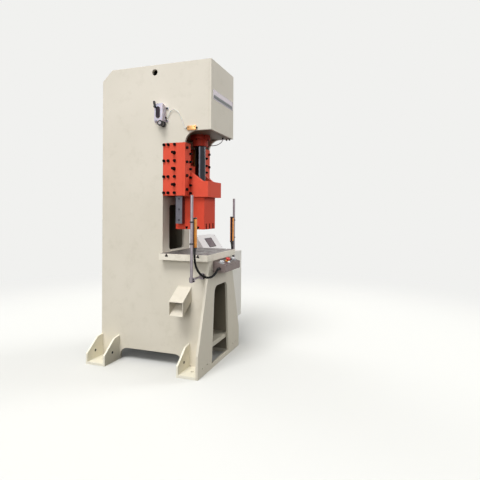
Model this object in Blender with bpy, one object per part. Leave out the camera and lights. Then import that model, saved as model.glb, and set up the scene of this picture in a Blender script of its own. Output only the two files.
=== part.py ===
# Hydraulic C-frame press, thirty tonnes, built piece by piece in Blender 4.5.
# Metres, +Z up. The machine faces -Y, and the cylinder's axis is x = 0, y = 0
# until the root empty moves the whole machine onto the middle of its footprint.

import math

import bmesh
import bpy
from mathutils import Matrix, Vector

GAP = 0.0003
OVERRUN = 0.010
BOLT_SEAT = 0.002

# Table, which everything above and below it is measured from
TABLE_HALF = 0.315
TABLE_FRONT_Y = -0.211
TABLE_TOP_Z = 0.9306
TABLE_THICKNESS = 0.052
TABLE_BOTTOM_Z = TABLE_TOP_Z - TABLE_THICKNESS
DROP_HOLE_RADIUS = 0.037
TSLOT_Y = (-0.128, 0.152)
TSLOT_END_X = 0.090
TSLOT_NECK = 0.014
TSLOT_HEAD = 0.026
TSLOT_NECK_DEPTH = 0.013
TSLOT_HEAD_DEPTH = 0.012

# Rod and piston across the axis
ROD_RADIUS = 0.0455
ROD_FOOT_RADIUS = ROD_RADIUS + 0.0225
ROD_FOOT_HEIGHT = 0.024
ROD_NOSE_RADIUS = 0.025
RUNNING_FIT = 0.0005

# Ram, from the daylight over the table up
DAYLIGHT = 0.1934
STROKE_UP = 0.250
STROKE_DOWN = 0.100
END_ROOM = 0.013
RAM_HALF = 0.1155
RAM_BOTTOM_Z = TABLE_TOP_Z + DAYLIGHT
RAM_FRONT_Y = -0.093
RAM_REAR_Y = 0.173
RAM_COLUMN_Y = ROD_FOOT_RADIUS + 0.020
RAM_COLUMN_LENGTH = 0.551
RAM_COLUMN_TOP_Z = RAM_BOTTOM_Z + RAM_COLUMN_LENGTH
RAM_HEAD_STEP = 0.029
RAM_HEAD_HALF = RAM_HALF + RAM_HEAD_STEP
RAM_HEAD_RISE = 0.2723
RAM_HEAD_HEIGHT = 0.1327
RAM_HEAD_BOTTOM_Z = RAM_BOTTOM_Z + RAM_HEAD_RISE
RAM_HEAD_TOP_Z = RAM_HEAD_BOTTOM_Z + RAM_HEAD_HEIGHT
RAM_POCKET_FRONT_Y = -ROD_FOOT_RADIUS - 0.017
RAM_HEAD_WALL = 0.053
RAM_HEAD_FRONT_Y = RAM_POCKET_FRONT_Y - RAM_HEAD_WALL
CHEEK_THICKNESS = 0.0405
RAM_POCKET_HALF = RAM_HEAD_HALF - CHEEK_THICKNESS
RAM_FLOOR = 0.0537
RAM_POCKET_FLOOR_Z = RAM_HEAD_BOTTOM_Z + RAM_FLOOR
CHEEK_SLOPE = 0.738
RAM_TSLOT_Y = (-0.033, 0.071)
RAM_TSLOT_NECK = 0.014
RAM_TSLOT_HEAD = 0.026
RAM_TSLOT_NECK_DEPTH = 0.012
RAM_TSLOT_HEAD_DEPTH = 0.012
CLAMP_SLOT_PITCH = 0.072
CLAMP_SLOT_X = (-CLAMP_SLOT_PITCH, 0.0, CLAMP_SLOT_PITCH)
CLAMP_SLOT_WIDTH = 0.022
CLAMP_SLOT_HEIGHT = 0.048
CLAMP_SLOT_DEPTH = 0.030
RAIL_DEPTH = 0.0492
RAIL_OUTER_X = RAM_HALF + GAP + RAIL_DEPTH
RAIL_FRONT_Y = RAM_COLUMN_Y + 0.0005
RAIL_WIDTH = 0.0600
RAIL_REAR_Y = RAIL_FRONT_Y + RAIL_WIDTH
RAIL_BOTTOM_Z = RAM_BOTTOM_Z + 0.048
RAIL_TOP_Z = RAM_COLUMN_TOP_Z - 0.010

# Welded column
BODY_WIDTH = 0.506
OUTER_HALF = BODY_WIDTH / 2
SIDE_THICKNESS = 0.025
INNER_HALF = OUTER_HALF - SIDE_THICKNESS
HEAD_FRONT_Y = -0.21
HEAD_PLATE = 0.020
HEAD_BOTTOM_Z = RAM_COLUMN_TOP_Z + STROKE_UP + 0.007
SEAT_THICKNESS = 0.040
THROAT_Y = 0.2225
THROAT_PLATE = 0.020
THROAT_ARC_RADIUS = 0.105
THROAT_ARC_Y = 0.0225
WINDOW_HALF = 0.140
WINDOW_BOTTOM_Z = TABLE_TOP_Z + 0.0144
WINDOW_HEIGHT = 0.385
WINDOW_TOP_Z = WINDOW_BOTTOM_Z + WINDOW_HEIGHT
WINDOW_RADIUS = 0.030
LIFTING_HOLE_RADIUS = 0.026
LIFTING_HOLE_Y = 0.305
LIFTING_HOLE_DROP = 0.062

# Ram guides, one block on each side of the throat
GUIDE_ROOM = 0.0055
GUIDE_INNER_X = RAM_HEAD_HALF + GUIDE_ROOM
GUIDE_DROP = 0.092
GUIDE_BOTTOM_Z = RAM_HEAD_BOTTOM_Z + 0.0087
GUIDE_TOP_Z = HEAD_BOTTOM_Z - GUIDE_DROP
GUIDE_LENGTH = GUIDE_TOP_Z - GUIDE_BOTTOM_Z
GUIDE_FRONT_Y = RAIL_FRONT_Y - 0.0695
GUIDE_REAR_Y = THROAT_Y - GAP
KEEPER_THICKNESS = 0.020
HOUSING_FRONT_Y = GUIDE_FRONT_Y + KEEPER_THICKNESS + GAP
ADJUST_ROOM = 0.003
SIDE_GIB = 0.0117
HOUSING_WALL_X = RAIL_OUTER_X + GAP + SIDE_GIB + ADJUST_ROOM
BOLT_HEAD_RADIUS = 0.0105
BOLT_HEAD_HEIGHT = 0.010
LOCK_NUT_RATIO = 1.7
LOCK_NUT_SHARE = 0.45
HOUSING_BOLT_SETBACK = (0.0112, 0.0502, 0.1092)
HOUSING_BOLT_SHARE = (0.055, 0.361, 0.662, 0.968)
KEEPER_BOLT_INSET = 0.027
KEEPER_BOLT_SHARE = (0.117, 0.379, 0.639, 0.906)
SIDE_SCREW_SHARE = (0.209, 0.510, 0.814)
FRONT_SCREW_SHARE = (0.051, 0.202, 0.354, 0.513, 0.651, 0.805)
SIDE_SCREW_RADIUS = 0.007
FRONT_SCREW_RADIUS = 0.005
SIDE_SCREW_OUT = 0.034
FRONT_SCREW_OUT = 0.016

# Cylinder, standing in the head's floor
BORE_RADIUS = 0.0625
BARREL_WALL = 0.0175
BARREL_RADIUS = BORE_RADIUS + BARREL_WALL
BARREL_FLANGE_RADIUS = BARREL_RADIUS + 0.030
BARREL_FLANGE = 0.025
GLAND_SPIGOT = 0.035
PISTON_BOTTOM_Z = HEAD_BOTTOM_Z + GLAND_SPIGOT + STROKE_DOWN + END_ROOM
PISTON_HEIGHT = 0.070
PISTON_NUT = 0.028
PISTON_NUT_RADIUS = 0.038
BARREL_INNER_TOP_Z = PISTON_BOTTOM_Z + PISTON_HEIGHT + PISTON_NUT + STROKE_UP + END_ROOM
BARREL_CAP = 0.020
BARREL_TOP_Z = BARREL_INNER_TOP_Z + BARREL_CAP
GLAND_RING_RADIUS = BORE_RADIUS + 0.004
GLAND_FLANGE_RADIUS = BORE_RADIUS + 0.024
GLAND_DROP = 0.094
GLAND_FLANGE = 0.036
GLAND_BOTTOM_Z = HEAD_BOTTOM_Z - GLAND_DROP
GLAND_FLANGE_BOTTOM_Z = HEAD_BOTTOM_Z - GLAND_FLANGE
GLAND_SLOTS = 4
GLAND_SLOT_WIDTH = 0.016
GLAND_SLOT_ROOT = 0.002

# Top of the column, over the cylinder
BARREL_ROOM = 0.018
BODY_HEIGHT = BARREL_TOP_Z + BARREL_ROOM + HEAD_PLATE

# Hydraulics inside the column, and the rear that closes it
CUTOUT_HEIGHT = 0.100
TANK_BOTTOM_Z = CUTOUT_HEIGHT + 0.002
TANK_HEIGHT = 0.518
TANK_TOP_Z = TANK_BOTTOM_Z + TANK_HEIGHT
TANK_WALL = 0.006
FILLER_RADIUS = 0.030
MOTOR_RADIUS = 0.090
MOTOR_HEIGHT = 0.230
MOTOR_BODY_HEIGHT = 0.184
MOTOR_COWL_RADIUS = 0.0837
PUMP_RADIUS = 0.054
MOTOR_ROOM = 0.0875
MOTOR_Y = THROAT_Y + THROAT_PLATE + MOTOR_ROOM + MOTOR_RADIUS
PUMP_HEIGHT = 0.090
MANIFOLD_WIDTH = 0.160
MANIFOLD_DEPTH = 0.110
MANIFOLD_HEIGHT = 0.090
MANIFOLD_ROOM = 0.115
MANIFOLD_Y = MOTOR_Y + MOTOR_RADIUS + MANIFOLD_ROOM + MANIFOLD_DEPTH / 2
PIPE_RADIUS = 0.009
PIPE_X = 0.045
PIPE_PORT_Z = HEAD_BOTTOM_Z + 0.128
PIPE_BENDS = ((0.0, 0.11), (0.14, 0.40), (0.53, 0.67), (0.74, 0.88), (0.83, 0.97))
STRAIGHT = 0.012
REAR_ROOM = 0.069
REAR_PLATE = 0.020
REAR_Y = MANIFOLD_Y + MANIFOLD_DEPTH / 2 + REAR_ROOM + REAR_PLATE
REAR_CHAMFER_Y = 0.099
REAR_CHAMFER_Z = 0.092

# Rear cover, bolted over the opening of the rear plate
COVER_HALF = INNER_HALF - 0.003
COVER_BOTTOM_Z = CUTOUT_HEIGHT + 0.050
COVER_TOP_DROP = 0.229
COVER_TOP_Z = BODY_HEIGHT - COVER_TOP_DROP
COVER_THICKNESS = 0.008
COVER_LAP = 0.030
LOUVRE_LENGTH = 0.110
LOUVRE_HEIGHT = 0.010
LOUVRE_PITCH = 0.034
LOUVRE_ROWS = 6
LOUVRE_BANDS_Z = (COVER_BOTTOM_Z + 0.470, COVER_TOP_Z - 0.410)

# Feet
FOOT_OUTER_HALF = 0.4577
FOOT_BASE = 0.020
GUSSET = 0.016
GUSSET_TOP_Z = 0.204
GUSSET_KNEE_OUT = 0.073
GUSSET_KNEE_DROP = 0.011
GUSSET_EDGE_Z = 0.087
REAR_FOOT_REAR_Y = REAR_Y + 0.0012
REAR_FOOT_LENGTH = 0.1882
REAR_FOOT_FRONT_Y = REAR_FOOT_REAR_Y - REAR_FOOT_LENGTH
ANCHOR_HOLE_RADIUS = 0.013
GUSSET_HOLE_RADIUS = 0.009
GUSSET_HOLE_Z = 0.085

# Front leg plate with its arch, and the shelf behind it
LEG_FRONT_Y = -0.2014
LEG_PLATE = 0.020
LEG_REAR_Y = LEG_FRONT_Y + LEG_PLATE + GAP
LEG_TOP_HALF = OUTER_HALF + 0.015
LEG_TAPER_BOTTOM_Z = 0.178
LEG_TAPER_TOP_Z = TABLE_BOTTOM_Z - 0.1136
ARCH_BOTTOM_Z = 0.035
ARCH_TOP_Z = TABLE_BOTTOM_Z - 0.2186
ARCH_BOTTOM_HALF = 0.190
ARCH_TOP_HALF = 0.143
ARCH_RADIUS = 0.060
LEVEL_HOLE_RADIUS = 0.007
LEVEL_HOLES = ((0.0807, 0.060), (0.1737, 0.065))
SHELF_TOP_Z = 0.192
SHELF_SHEET = 0.006
SHELF_LIP = 0.037
SHELF_DEPTH = 0.300
FRONT_FOOT_LENGTH = 0.1631
FRONT_FOOT_REAR_Y = LEG_REAR_Y + FRONT_FOOT_LENGTH
CUTOUT_RADIUS = 0.070
CUTOUT_FRONT_Y = FRONT_FOOT_REAR_Y + 0.048
CUTOUT_REAR_Y = REAR_FOOT_FRONT_Y - 0.004

# Parts chute, a sloping duct that ends under the drop hole
CHUTE_Y = 0.0165
CHUTE_HALF = 0.0615
CHUTE_WALL = 0.005
CHUTE_OUTER_X = -OUTER_HALF - 0.150
CHUTE_INNER_X = DROP_HOLE_RADIUS + 0.018
CHUTE_MOUTH_HEIGHT = 0.116
CHUTE_SLOPE = 0.640
CHUTE_CATCH = 0.100
CHUTE_DROP = 0.0194
CHUTE_TOP_Z = TABLE_BOTTOM_Z - CHUTE_DROP

# Light guard
POST_X = TABLE_HALF + 0.145
POST_Y = LEG_REAR_Y + 0.0361
POST_RADIUS = 0.011
POST_LENGTH = 0.665
POST_BOTTOM_Z = TABLE_TOP_Z - 0.1956
POST_TOP_Z = POST_BOTTOM_Z + POST_LENGTH
ARM_Z = POST_BOTTOM_Z + 0.022
ARM_RADIUS = 0.009
ARM_FLANGE_RADIUS = 0.026
ARM_FLANGE = 0.012
ARM_BOSS_RADIUS = 0.016
ARM_BOSS = 0.050
COLLAR_RADIUS = 0.0175
COLLAR_HEIGHT = 0.036
CURTAIN_X = POST_X - 0.050
CURTAIN_HALF = 0.0150
CURTAIN_ROUND = 0.004
CURTAIN_LENGTH = 0.241
CURTAIN_BOTTOM_Z = TABLE_TOP_Z + 0.0564
CURTAIN_TOP_Z = CURTAIN_BOTTOM_Z + CURTAIN_LENGTH
CLAMP_SHARE = (0.178, 0.863)
CLAMP_HEIGHT = 0.016
CLAMP_BAR_HALF = 0.008
CURTAIN_LEAD_RADIUS = 0.009

# Two-hand control box
BOX_HALF = 0.179
BOX_DEPTH = 0.1063
BOX_HEIGHT = 0.089
BOX_FALL = 0.029
BOX_REAR_Y = LEG_FRONT_Y - GAP
BOX_FRONT_Y = BOX_REAR_Y - BOX_DEPTH
BOX_REAR_TOP_Z = TABLE_BOTTOM_Z - 0.0066
BOX_FRONT_TOP_Z = BOX_REAR_TOP_Z - BOX_FALL
BOX_BOTTOM_Z = BOX_REAR_TOP_Z - BOX_HEIGHT
BUTTON_Y = BOX_FRONT_Y + 0.048
START_X = BOX_HALF - 0.044
START_RADIUS = 0.019
START_STEM = 0.012
START_ROOM = 0.007
START_CAP = 0.012
STOP_RADIUS = 0.020
STOP_STEM = 0.010
STOP_ROOM = 0.012
STOP_CAP = 0.018
BUTTON_ROUND = 0.004
STEM_DEPTH = 0.014
WELL_ROOM = 0.008
SELECTOR_X = 0.062
SELECTOR_RADIUS = 0.011
SELECTOR_STEM = 0.008
SELECTOR_DISC = 0.008
SELECTOR_BLADE = 0.007
GLAND_NUT_RADIUS = 0.014
GLAND_NUT_LENGTH = 0.012
GLAND_LENGTH = 0.020
BOX_GLAND_Y = BOX_FRONT_Y + 0.048
BOX_GLAND_Z = BOX_BOTTOM_Z + 0.031

# Electrical cabinet and console on the right
CABINET_OUTER_X = 0.765
CABINET_FRONT_Y = POST_Y + ARM_FLANGE_RADIUS + 0.002
CABINET_DEPTH = 0.367
CABINET_REAR_Y = CABINET_FRONT_Y + CABINET_DEPTH
CABINET_BOTTOM_Z = GUSSET_TOP_Z + 0.018
CABINET_TOP_Z = TABLE_BOTTOM_Z - GAP
CABINET_WALL = 0.006
DOOR_THICKNESS = 0.020
DOOR_EDGE = 0.003
HINGE_RADIUS = 0.006
HINGE_LENGTH = 0.030
HINGE_LEAF = 0.030
HINGE_END = 0.100
HINGE_X = CABINET_OUTER_X - DOOR_THICKNESS
HINGE_Y = CABINET_REAR_Y + HINGE_RADIUS + BOLT_SEAT
LATCH_RADIUS = 0.014
LATCH_STEM = 0.009
LATCH_DEPTH = 0.011
LATCH_DISC = 0.006
LATCH_INSET = 0.030
LATCH_WING = 0.019
LATCH_OUT = 0.018
LATCH_Z = (CABINET_BOTTOM_Z + CABINET_TOP_Z) / 2
PANEL_MARGIN = 0.040
PANEL_SHEET = 0.003
PANEL_ROW_INSET = 0.020
PANEL_ROWS = ((0.10, 0.05), (0.11, 0.09), (0.14, 0.11))
PANEL_ROW_GAP = 0.050
CONSOLE_INNER_X = TABLE_HALF + 0.010
CONSOLE_BASE_Z = CABINET_TOP_Z + GAP
CONSOLE_DEPTH = 0.159
CONSOLE_FLAT = 0.064
CONSOLE_FRONT_Y = CABINET_REAR_Y - CONSOLE_DEPTH
CONSOLE_CREST_Y = CABINET_REAR_Y - CONSOLE_FLAT
CONSOLE_LIP = 0.0184
CONSOLE_HEIGHT = 0.1554
SCREEN_LEFT = CONSOLE_INNER_X + 0.147
SCREEN_WIDTH = 0.154
SCREEN_START = 0.20
SCREEN_END = 0.78
SCREEN_DEPTH = 0.004
SCREEN_PROUD = 0.001

# Hand lubricator, its pipe and the distributor on the left side plate
LUBE_Y = 0.195
LUBE_WIDTH = 0.080
LUBE_Z = HEAD_BOTTOM_Z + 0.080
LUBE_HEIGHT = 0.148
LUBE_DEPTH = 0.060
LUBE_EAR = 0.012
LUBE_PLATE = 0.006
LUBE_BARREL_RADIUS = 0.0235
LUBE_BARREL_OUT = 0.010
LUBE_BARREL_Z = LUBE_Z - 0.015
LEVER_Y = LUBE_Y + 0.067
LEVER_Z = LUBE_Z + 0.119
LEVER_LENGTH = 0.046
LEVER_WIDTH = 0.015
DISTRIBUTOR_Y = -0.081
DISTRIBUTOR_LENGTH = 0.076
DISTRIBUTOR_Z = HEAD_BOTTOM_Z + 0.002
DISTRIBUTOR_HEIGHT = 0.035
DISTRIBUTOR_DEPTH = 0.016
OIL_LINE_RADIUS = 0.003
OIL_LINE_OUT = 0.010
OIL_OUTLET_Z = LUBE_Z + 0.036
OIL_UNION_RADIUS = 0.0055
OIL_UNION_LENGTH = 0.012
OIL_LINE_BENDS = ((0.92, 0.130), (0.865, 0.156), (0.756, 0.174), (0.62, 0.179), (0.432, 0.161),
                  (0.272, 0.115), (0.164, 0.064), (0.084, 0.030))

PAINT_CREAM = ("cream_enamel", "DEDAC8", 0.35, 0.0)
PAINT_RED = ("red_orange_enamel", "CB3A22", 0.38, 0.0)
PAINT_GLAND = ("dark_red_enamel", "8E2A1E", 0.40, 0.0)
PAINT_WHITE = ("white_powder_coat", "ECEAE4", 0.45, 0.0)
PAINT_TANK = ("grey_enamel", "7F8688", 0.45, 0.0)
PAINT_MOTOR = ("blue_grey_enamel", "54626B", 0.45, 0.0)
STEEL = ("ground_steel", "8C8A88", 0.35, 1.0)
CHROME = ("hard_chrome", "C9CBCE", 0.08, 1.0)
STAINLESS = ("brushed_stainless", "8B817A", 0.40, 1.0)
BRONZE = ("guide_bronze", "B07A3C", 0.35, 1.0)
BRASS = ("brass", "D9A066", 0.30, 1.0)
ORANGE = ("orange_lacquer", "DE8F3C", 0.40, 0.0)
BLACK = ("black_plastic", "1C1C1E", 0.50, 0.0)
RED_BUTTON = ("red_plastic", "B3202A", 0.35, 0.0)
SILVER_BUTTON = ("silver_plastic", "D0D2D6", 0.30, 0.2)
LILAC = ("lilac_plastic", "CFC8D8", 0.45, 0.0)


def clear_scene():
    for old in list(bpy.data.objects):
        bpy.data.objects.remove(old, do_unlink=True)


def linear(channel):
    if channel <= 0.04045:
        return channel / 12.92
    return ((channel + 0.055) / 1.055) ** 2.4


def finish_material(finish):
    """A Principled material from (name, sRGB hex, roughness, metallic)."""
    name, colour, roughness, metallic = finish
    found = bpy.data.materials.get(name)
    if found:
        return found
    material = bpy.data.materials.new(name)
    material.use_nodes = True
    shader = material.node_tree.nodes["Principled BSDF"]
    rgb = [linear(int(colour[i:i + 2], 16) / 255) for i in (0, 2, 4)]
    shader.inputs["Base Color"].default_value = (*rgb, 1.0)
    shader.inputs["Roughness"].default_value = roughness
    shader.inputs["Metallic"].default_value = metallic
    return material


def add_object(name, bm, finish=None):
    """Turn a bmesh into a named object, facing outwards, under the machine's root."""
    bmesh.ops.recalc_face_normals(bm, faces=bm.faces)
    mesh = bpy.data.meshes.new(name)
    bm.to_mesh(mesh)
    bm.free()
    obj = bpy.data.objects.new(name, mesh)
    bpy.context.scene.collection.objects.link(obj)
    if finish:
        mesh.materials.append(finish_material(finish))
    return obj


def on_axis(axis, u, v, w):
    """The point with thickness coordinate w along axis and (u, v) across it."""
    if axis == "x":
        return Vector((w, u, v))
    if axis == "y":
        return Vector((u, w, v))
    return Vector((u, v, w))


def slab_mesh(outline, axis, start, end, holes=()):
    """A flat plate: an outline with holes, filled at start and extruded to end."""
    bm = bmesh.new()
    for loop in (outline, *holes):
        corners = [bm.verts.new(on_axis(axis, u, v, start)) for u, v in loop]
        for here, after in zip(corners, corners[1:] + corners[:1]):
            bm.edges.new((here, after))
    bmesh.ops.triangle_fill(bm, use_beauty=True, use_dissolve=False, edges=bm.edges)
    grown = bmesh.ops.extrude_face_region(bm, geom=bm.faces[:])
    moved = [item for item in grown["geom"] if isinstance(item, bmesh.types.BMVert)]
    bmesh.ops.translate(bm, verts=moved, vec=on_axis(axis, 0, 0, end - start))
    return bm


def slab(name, outline, axis, start, end, finish, holes=()):
    return add_object(name, slab_mesh(outline, axis, start, end, holes), finish)


def block(name, low, high, finish=None):
    """A box between two corners."""
    bm = bmesh.new()
    bmesh.ops.create_cube(bm, size=1.0)
    low, high = Vector(low), Vector(high)
    bmesh.ops.scale(bm, vec=high - low, verts=bm.verts)
    bmesh.ops.translate(bm, vec=(high + low) / 2, verts=bm.verts)
    return add_object(name, bm, finish)


def circle(u, v, radius, sides, turn=0.0):
    """The corners of a regular outline round (u, v)."""
    step = 2 * math.pi / sides
    return [(u + radius * math.cos(turn + i * step), v + radius * math.sin(turn + i * step))
            for i in range(sides)]


def arc(u, v, radius, start, end, steps):
    """Points on an arc, angles in degrees."""
    angles = [math.radians(start + (end - start) * i / steps) for i in range(steps + 1)]
    return [(u + radius * math.cos(a), v + radius * math.sin(a)) for a in angles]


def rounded_rectangle(u0, v0, u1, v1, radius, steps=3):
    corners = ((u1, v1, 0), (u0, v1, 90), (u0, v0, 180), (u1, v0, 270))
    points = []
    for u, v, turn in corners:
        centre_u = u - radius if u == u1 else u + radius
        centre_v = v - radius if v == v1 else v + radius
        points += arc(centre_u, centre_v, radius, turn, turn + 90, steps)
    return points


def turned(name, profile, sides, finish, centre=(0, 0, 0), direction=(0, 0, 1), ring=False):
    """A turned piece: (radius, height) points spun round a line.

    A plain profile runs from pole to pole, so its first and last radius are 0.
    A ring's profile is a closed loop off the axis."""
    bm = bmesh.new()
    rows = []
    for radius, height in profile:
        if radius == 0:
            rows.append([bm.verts.new((0, 0, height))] * sides)
            continue
        rows.append([bm.verts.new((radius * math.cos(2 * math.pi * i / sides),
                                   radius * math.sin(2 * math.pi * i / sides), height))
                     for i in range(sides)])
    pairs = list(zip(rows, rows[1:] + rows[:1])) if ring else list(zip(rows, rows[1:]))
    for low, high in pairs:
        for i in range(sides):
            j = (i + 1) % sides
            corners = list(dict.fromkeys((low[i], low[j], high[j], high[i])))
            if len(corners) > 2:
                bm.faces.new(corners)
    turn = Vector((0, 0, 1)).rotation_difference(Vector(direction)).to_matrix().to_4x4()
    bmesh.ops.transform(bm, matrix=Matrix.Translation(Vector(centre)) @ turn, verts=bm.verts)
    obj = add_object(name, bm, finish)
    obj.data.shade_smooth()
    obj.data.set_sharp_from_angle(angle=math.radians(35))
    return obj


def rod_profile(radius, start, end):
    return [(0, start), (radius, start), (radius, end), (0, end)]


def round_well(stem, depth, sides, place, outward):
    """A cutter for a blind hole in which a stem of that radius and depth can turn and slide."""
    radius = (stem + GAP) / math.cos(math.pi / sides)
    return turned("well", rod_profile(radius, -depth - WELL_ROOM, OVERRUN), sides, None, place, outward)


def combine(base, operation, tools):
    """Cut tools out of base, or weld them to it, and keep the result as base's mesh."""
    for tool in tools:
        change = base.modifiers.new(operation, "BOOLEAN")
        change.operation = operation
        change.solver = "EXACT"
        change.object = tool
    bpy.context.view_layer.update()
    graph = bpy.context.evaluated_depsgraph_get()
    result = bpy.data.meshes.new_from_object(base.evaluated_get(graph))
    base.modifiers.clear()
    base.data = result
    for tool in tools:
        bpy.data.objects.remove(tool, do_unlink=True)
    return base


def cut(base, *tools):
    return combine(base, "DIFFERENCE", tools)


def weld(base, *tools):
    return combine(base, "UNION", tools)


def mirrored(piece, name):
    """The same piece for the other side of the machine, as its own object."""
    bm = bmesh.new()
    bm.from_mesh(piece.data)
    bmesh.ops.scale(bm, vec=(-1, 1, 1), verts=bm.verts)
    twin = add_object(name, bm)
    for material in piece.data.materials:
        twin.data.materials.append(material)
    return twin


def set_pivot(obj, point):
    """Move an object's origin to its joint, leaving its faces where they are."""
    obj.data.transform(Matrix.Translation(-Vector(point)))
    obj.location = point
    return obj


def side_outline():
    """The C of the side plate, in (y, z), anticlockwise from the front bottom corner."""
    front_y = LEG_REAR_Y
    rear_y = REAR_Y - GAP
    radius = CUTOUT_RADIUS
    arc_centre_y = THROAT_ARC_Y - THROAT_ARC_RADIUS
    arc_centre_z = HEAD_BOTTOM_Z - THROAT_ARC_RADIUS
    step_z = GUIDE_TOP_Z + GAP
    arc_end = math.degrees(math.asin((step_z - arc_centre_z) / THROAT_ARC_RADIUS))
    points = [(front_y, 0.0), (CUTOUT_FRONT_Y, 0.0)]
    points += arc(CUTOUT_FRONT_Y + radius, CUTOUT_HEIGHT - radius, radius, 180, 90, 4)
    points += arc(CUTOUT_REAR_Y - radius, CUTOUT_HEIGHT - radius, radius, 90, 0, 4)
    points += [(CUTOUT_REAR_Y, 0.0), (rear_y, 0.0), (rear_y, BODY_HEIGHT - REAR_CHAMFER_Z),
               (rear_y - REAR_CHAMFER_Y, BODY_HEIGHT)]
    points += [(HEAD_FRONT_Y + HEAD_PLATE + GAP, BODY_HEIGHT),
               (HEAD_FRONT_Y + HEAD_PLATE + GAP, HEAD_BOTTOM_Z)]
    points += arc(arc_centre_y, arc_centre_z, THROAT_ARC_RADIUS, 90, arc_end, 6)
    points += [(THROAT_Y + GAP, step_z), (THROAT_Y + GAP, TABLE_BOTTOM_Z - GAP),
               (front_y, TABLE_BOTTOM_Z - GAP)]
    return points


def make_side_plates():
    lifting_hole = circle(LIFTING_HOLE_Y, BODY_HEIGHT - LIFTING_HOLE_DROP, LIFTING_HOLE_RADIUS, 16)
    chute_top = chute_height(-OUTER_HALF) + CHUTE_MOUTH_HEIGHT
    chute_low = chute_height(-OUTER_HALF)
    chute_rise = CHUTE_SLOPE * SIDE_THICKNESS
    left = slab("side_plate_left", side_outline(), "x", -OUTER_HALF, -INNER_HALF,
                PAINT_CREAM, [lifting_hole])
    over = OVERRUN * CHUTE_SLOPE
    opening = slab_mesh([(-OUTER_HALF - OVERRUN, chute_low - GAP - over),
                         (-INNER_HALF + OVERRUN, chute_low + chute_rise - GAP + over),
                         (-INNER_HALF + OVERRUN, chute_top + chute_rise + GAP + over),
                         (-OUTER_HALF - OVERRUN, chute_top + GAP - over)],
                        "y", CHUTE_Y - CHUTE_HALF - GAP, CHUTE_Y + CHUTE_HALF + GAP)
    cut(left, add_object("chute_opening", opening))
    slab("side_plate_right", side_outline(), "x", INNER_HALF, OUTER_HALF,
         PAINT_CREAM, [lifting_hole])


def make_head():
    inner = INNER_HALF - GAP
    front_inner_y = HEAD_FRONT_Y + HEAD_PLATE
    rear_inner_y = REAR_Y - REAR_CHAMFER_Y - REAR_PLATE
    block("head_front_plate", (-OUTER_HALF, HEAD_FRONT_Y, HEAD_BOTTOM_Z),
          (OUTER_HALF, front_inner_y, BODY_HEIGHT), PAINT_CREAM)
    block("top_plate", (-inner, front_inner_y + GAP, BODY_HEIGHT - HEAD_PLATE),
          (inner, rear_inner_y - GAP, BODY_HEIGHT), PAINT_CREAM)
    bore = circle(0, 0, BARREL_RADIUS + GAP, 24)
    slab("cylinder_seat_plate",
         [(-inner, front_inner_y + GAP), (inner, front_inner_y + GAP),
          (inner, THROAT_Y - GAP), (-inner, THROAT_Y - GAP)],
         "z", HEAD_BOTTOM_Z, HEAD_BOTTOM_Z + SEAT_THICKNESS, PAINT_CREAM, [bore])


def make_throat_back():
    inner = INNER_HALF - GAP
    window = rounded_rectangle(-WINDOW_HALF, WINDOW_BOTTOM_Z, WINDOW_HALF, WINDOW_TOP_Z,
                               WINDOW_RADIUS)
    top = BODY_HEIGHT - HEAD_PLATE - GAP
    slab("throat_back_plate",
         [(-inner, CUTOUT_HEIGHT), (inner, CUTOUT_HEIGHT), (inner, top), (-inner, top)],
         "y", THROAT_Y, THROAT_Y + THROAT_PLATE, PAINT_CREAM, [window])


def make_rear():
    """The rear plate is bent at the chamfer, and a bolted cover closes its opening."""
    inner = INNER_HALF - GAP
    bend_z = BODY_HEIGHT - REAR_CHAMFER_Z
    top_y = REAR_Y - REAR_CHAMFER_Y
    shift = REAR_PLATE * math.tan(math.atan2(REAR_CHAMFER_Y, REAR_CHAMFER_Z) / 2)
    profile = [(REAR_Y, CUTOUT_HEIGHT), (REAR_Y, bend_z), (top_y, BODY_HEIGHT),
               (top_y - REAR_PLATE, BODY_HEIGHT), (REAR_Y - REAR_PLATE, bend_z - shift),
               (REAR_Y - REAR_PLATE, CUTOUT_HEIGHT)]
    rear = slab("rear_plate", profile, "x", -inner, inner, PAINT_CREAM)
    opening = block("rear_opening",
                    (-COVER_HALF + COVER_LAP, REAR_Y - REAR_PLATE - OVERRUN,
                     COVER_BOTTOM_Z + COVER_LAP),
                    (COVER_HALF - COVER_LAP, REAR_Y + OVERRUN, COVER_TOP_Z - COVER_LAP))
    cut(rear, opening)
    slots = []
    for band_z in LOUVRE_BANDS_Z:
        for row in range(LOUVRE_ROWS):
            z = band_z + row * LOUVRE_PITCH
            slots.append([(-LOUVRE_LENGTH / 2, z), (LOUVRE_LENGTH / 2, z),
                          (LOUVRE_LENGTH / 2, z + LOUVRE_HEIGHT),
                          (-LOUVRE_LENGTH / 2, z + LOUVRE_HEIGHT)])
    outline = [(-COVER_HALF, COVER_BOTTOM_Z), (COVER_HALF, COVER_BOTTOM_Z),
               (COVER_HALF, COVER_TOP_Z), (-COVER_HALF, COVER_TOP_Z)]
    slab("rear_cover", outline, "y", REAR_Y + GAP, REAR_Y + GAP + COVER_THICKNESS,
         PAINT_CREAM, slots)


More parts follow.
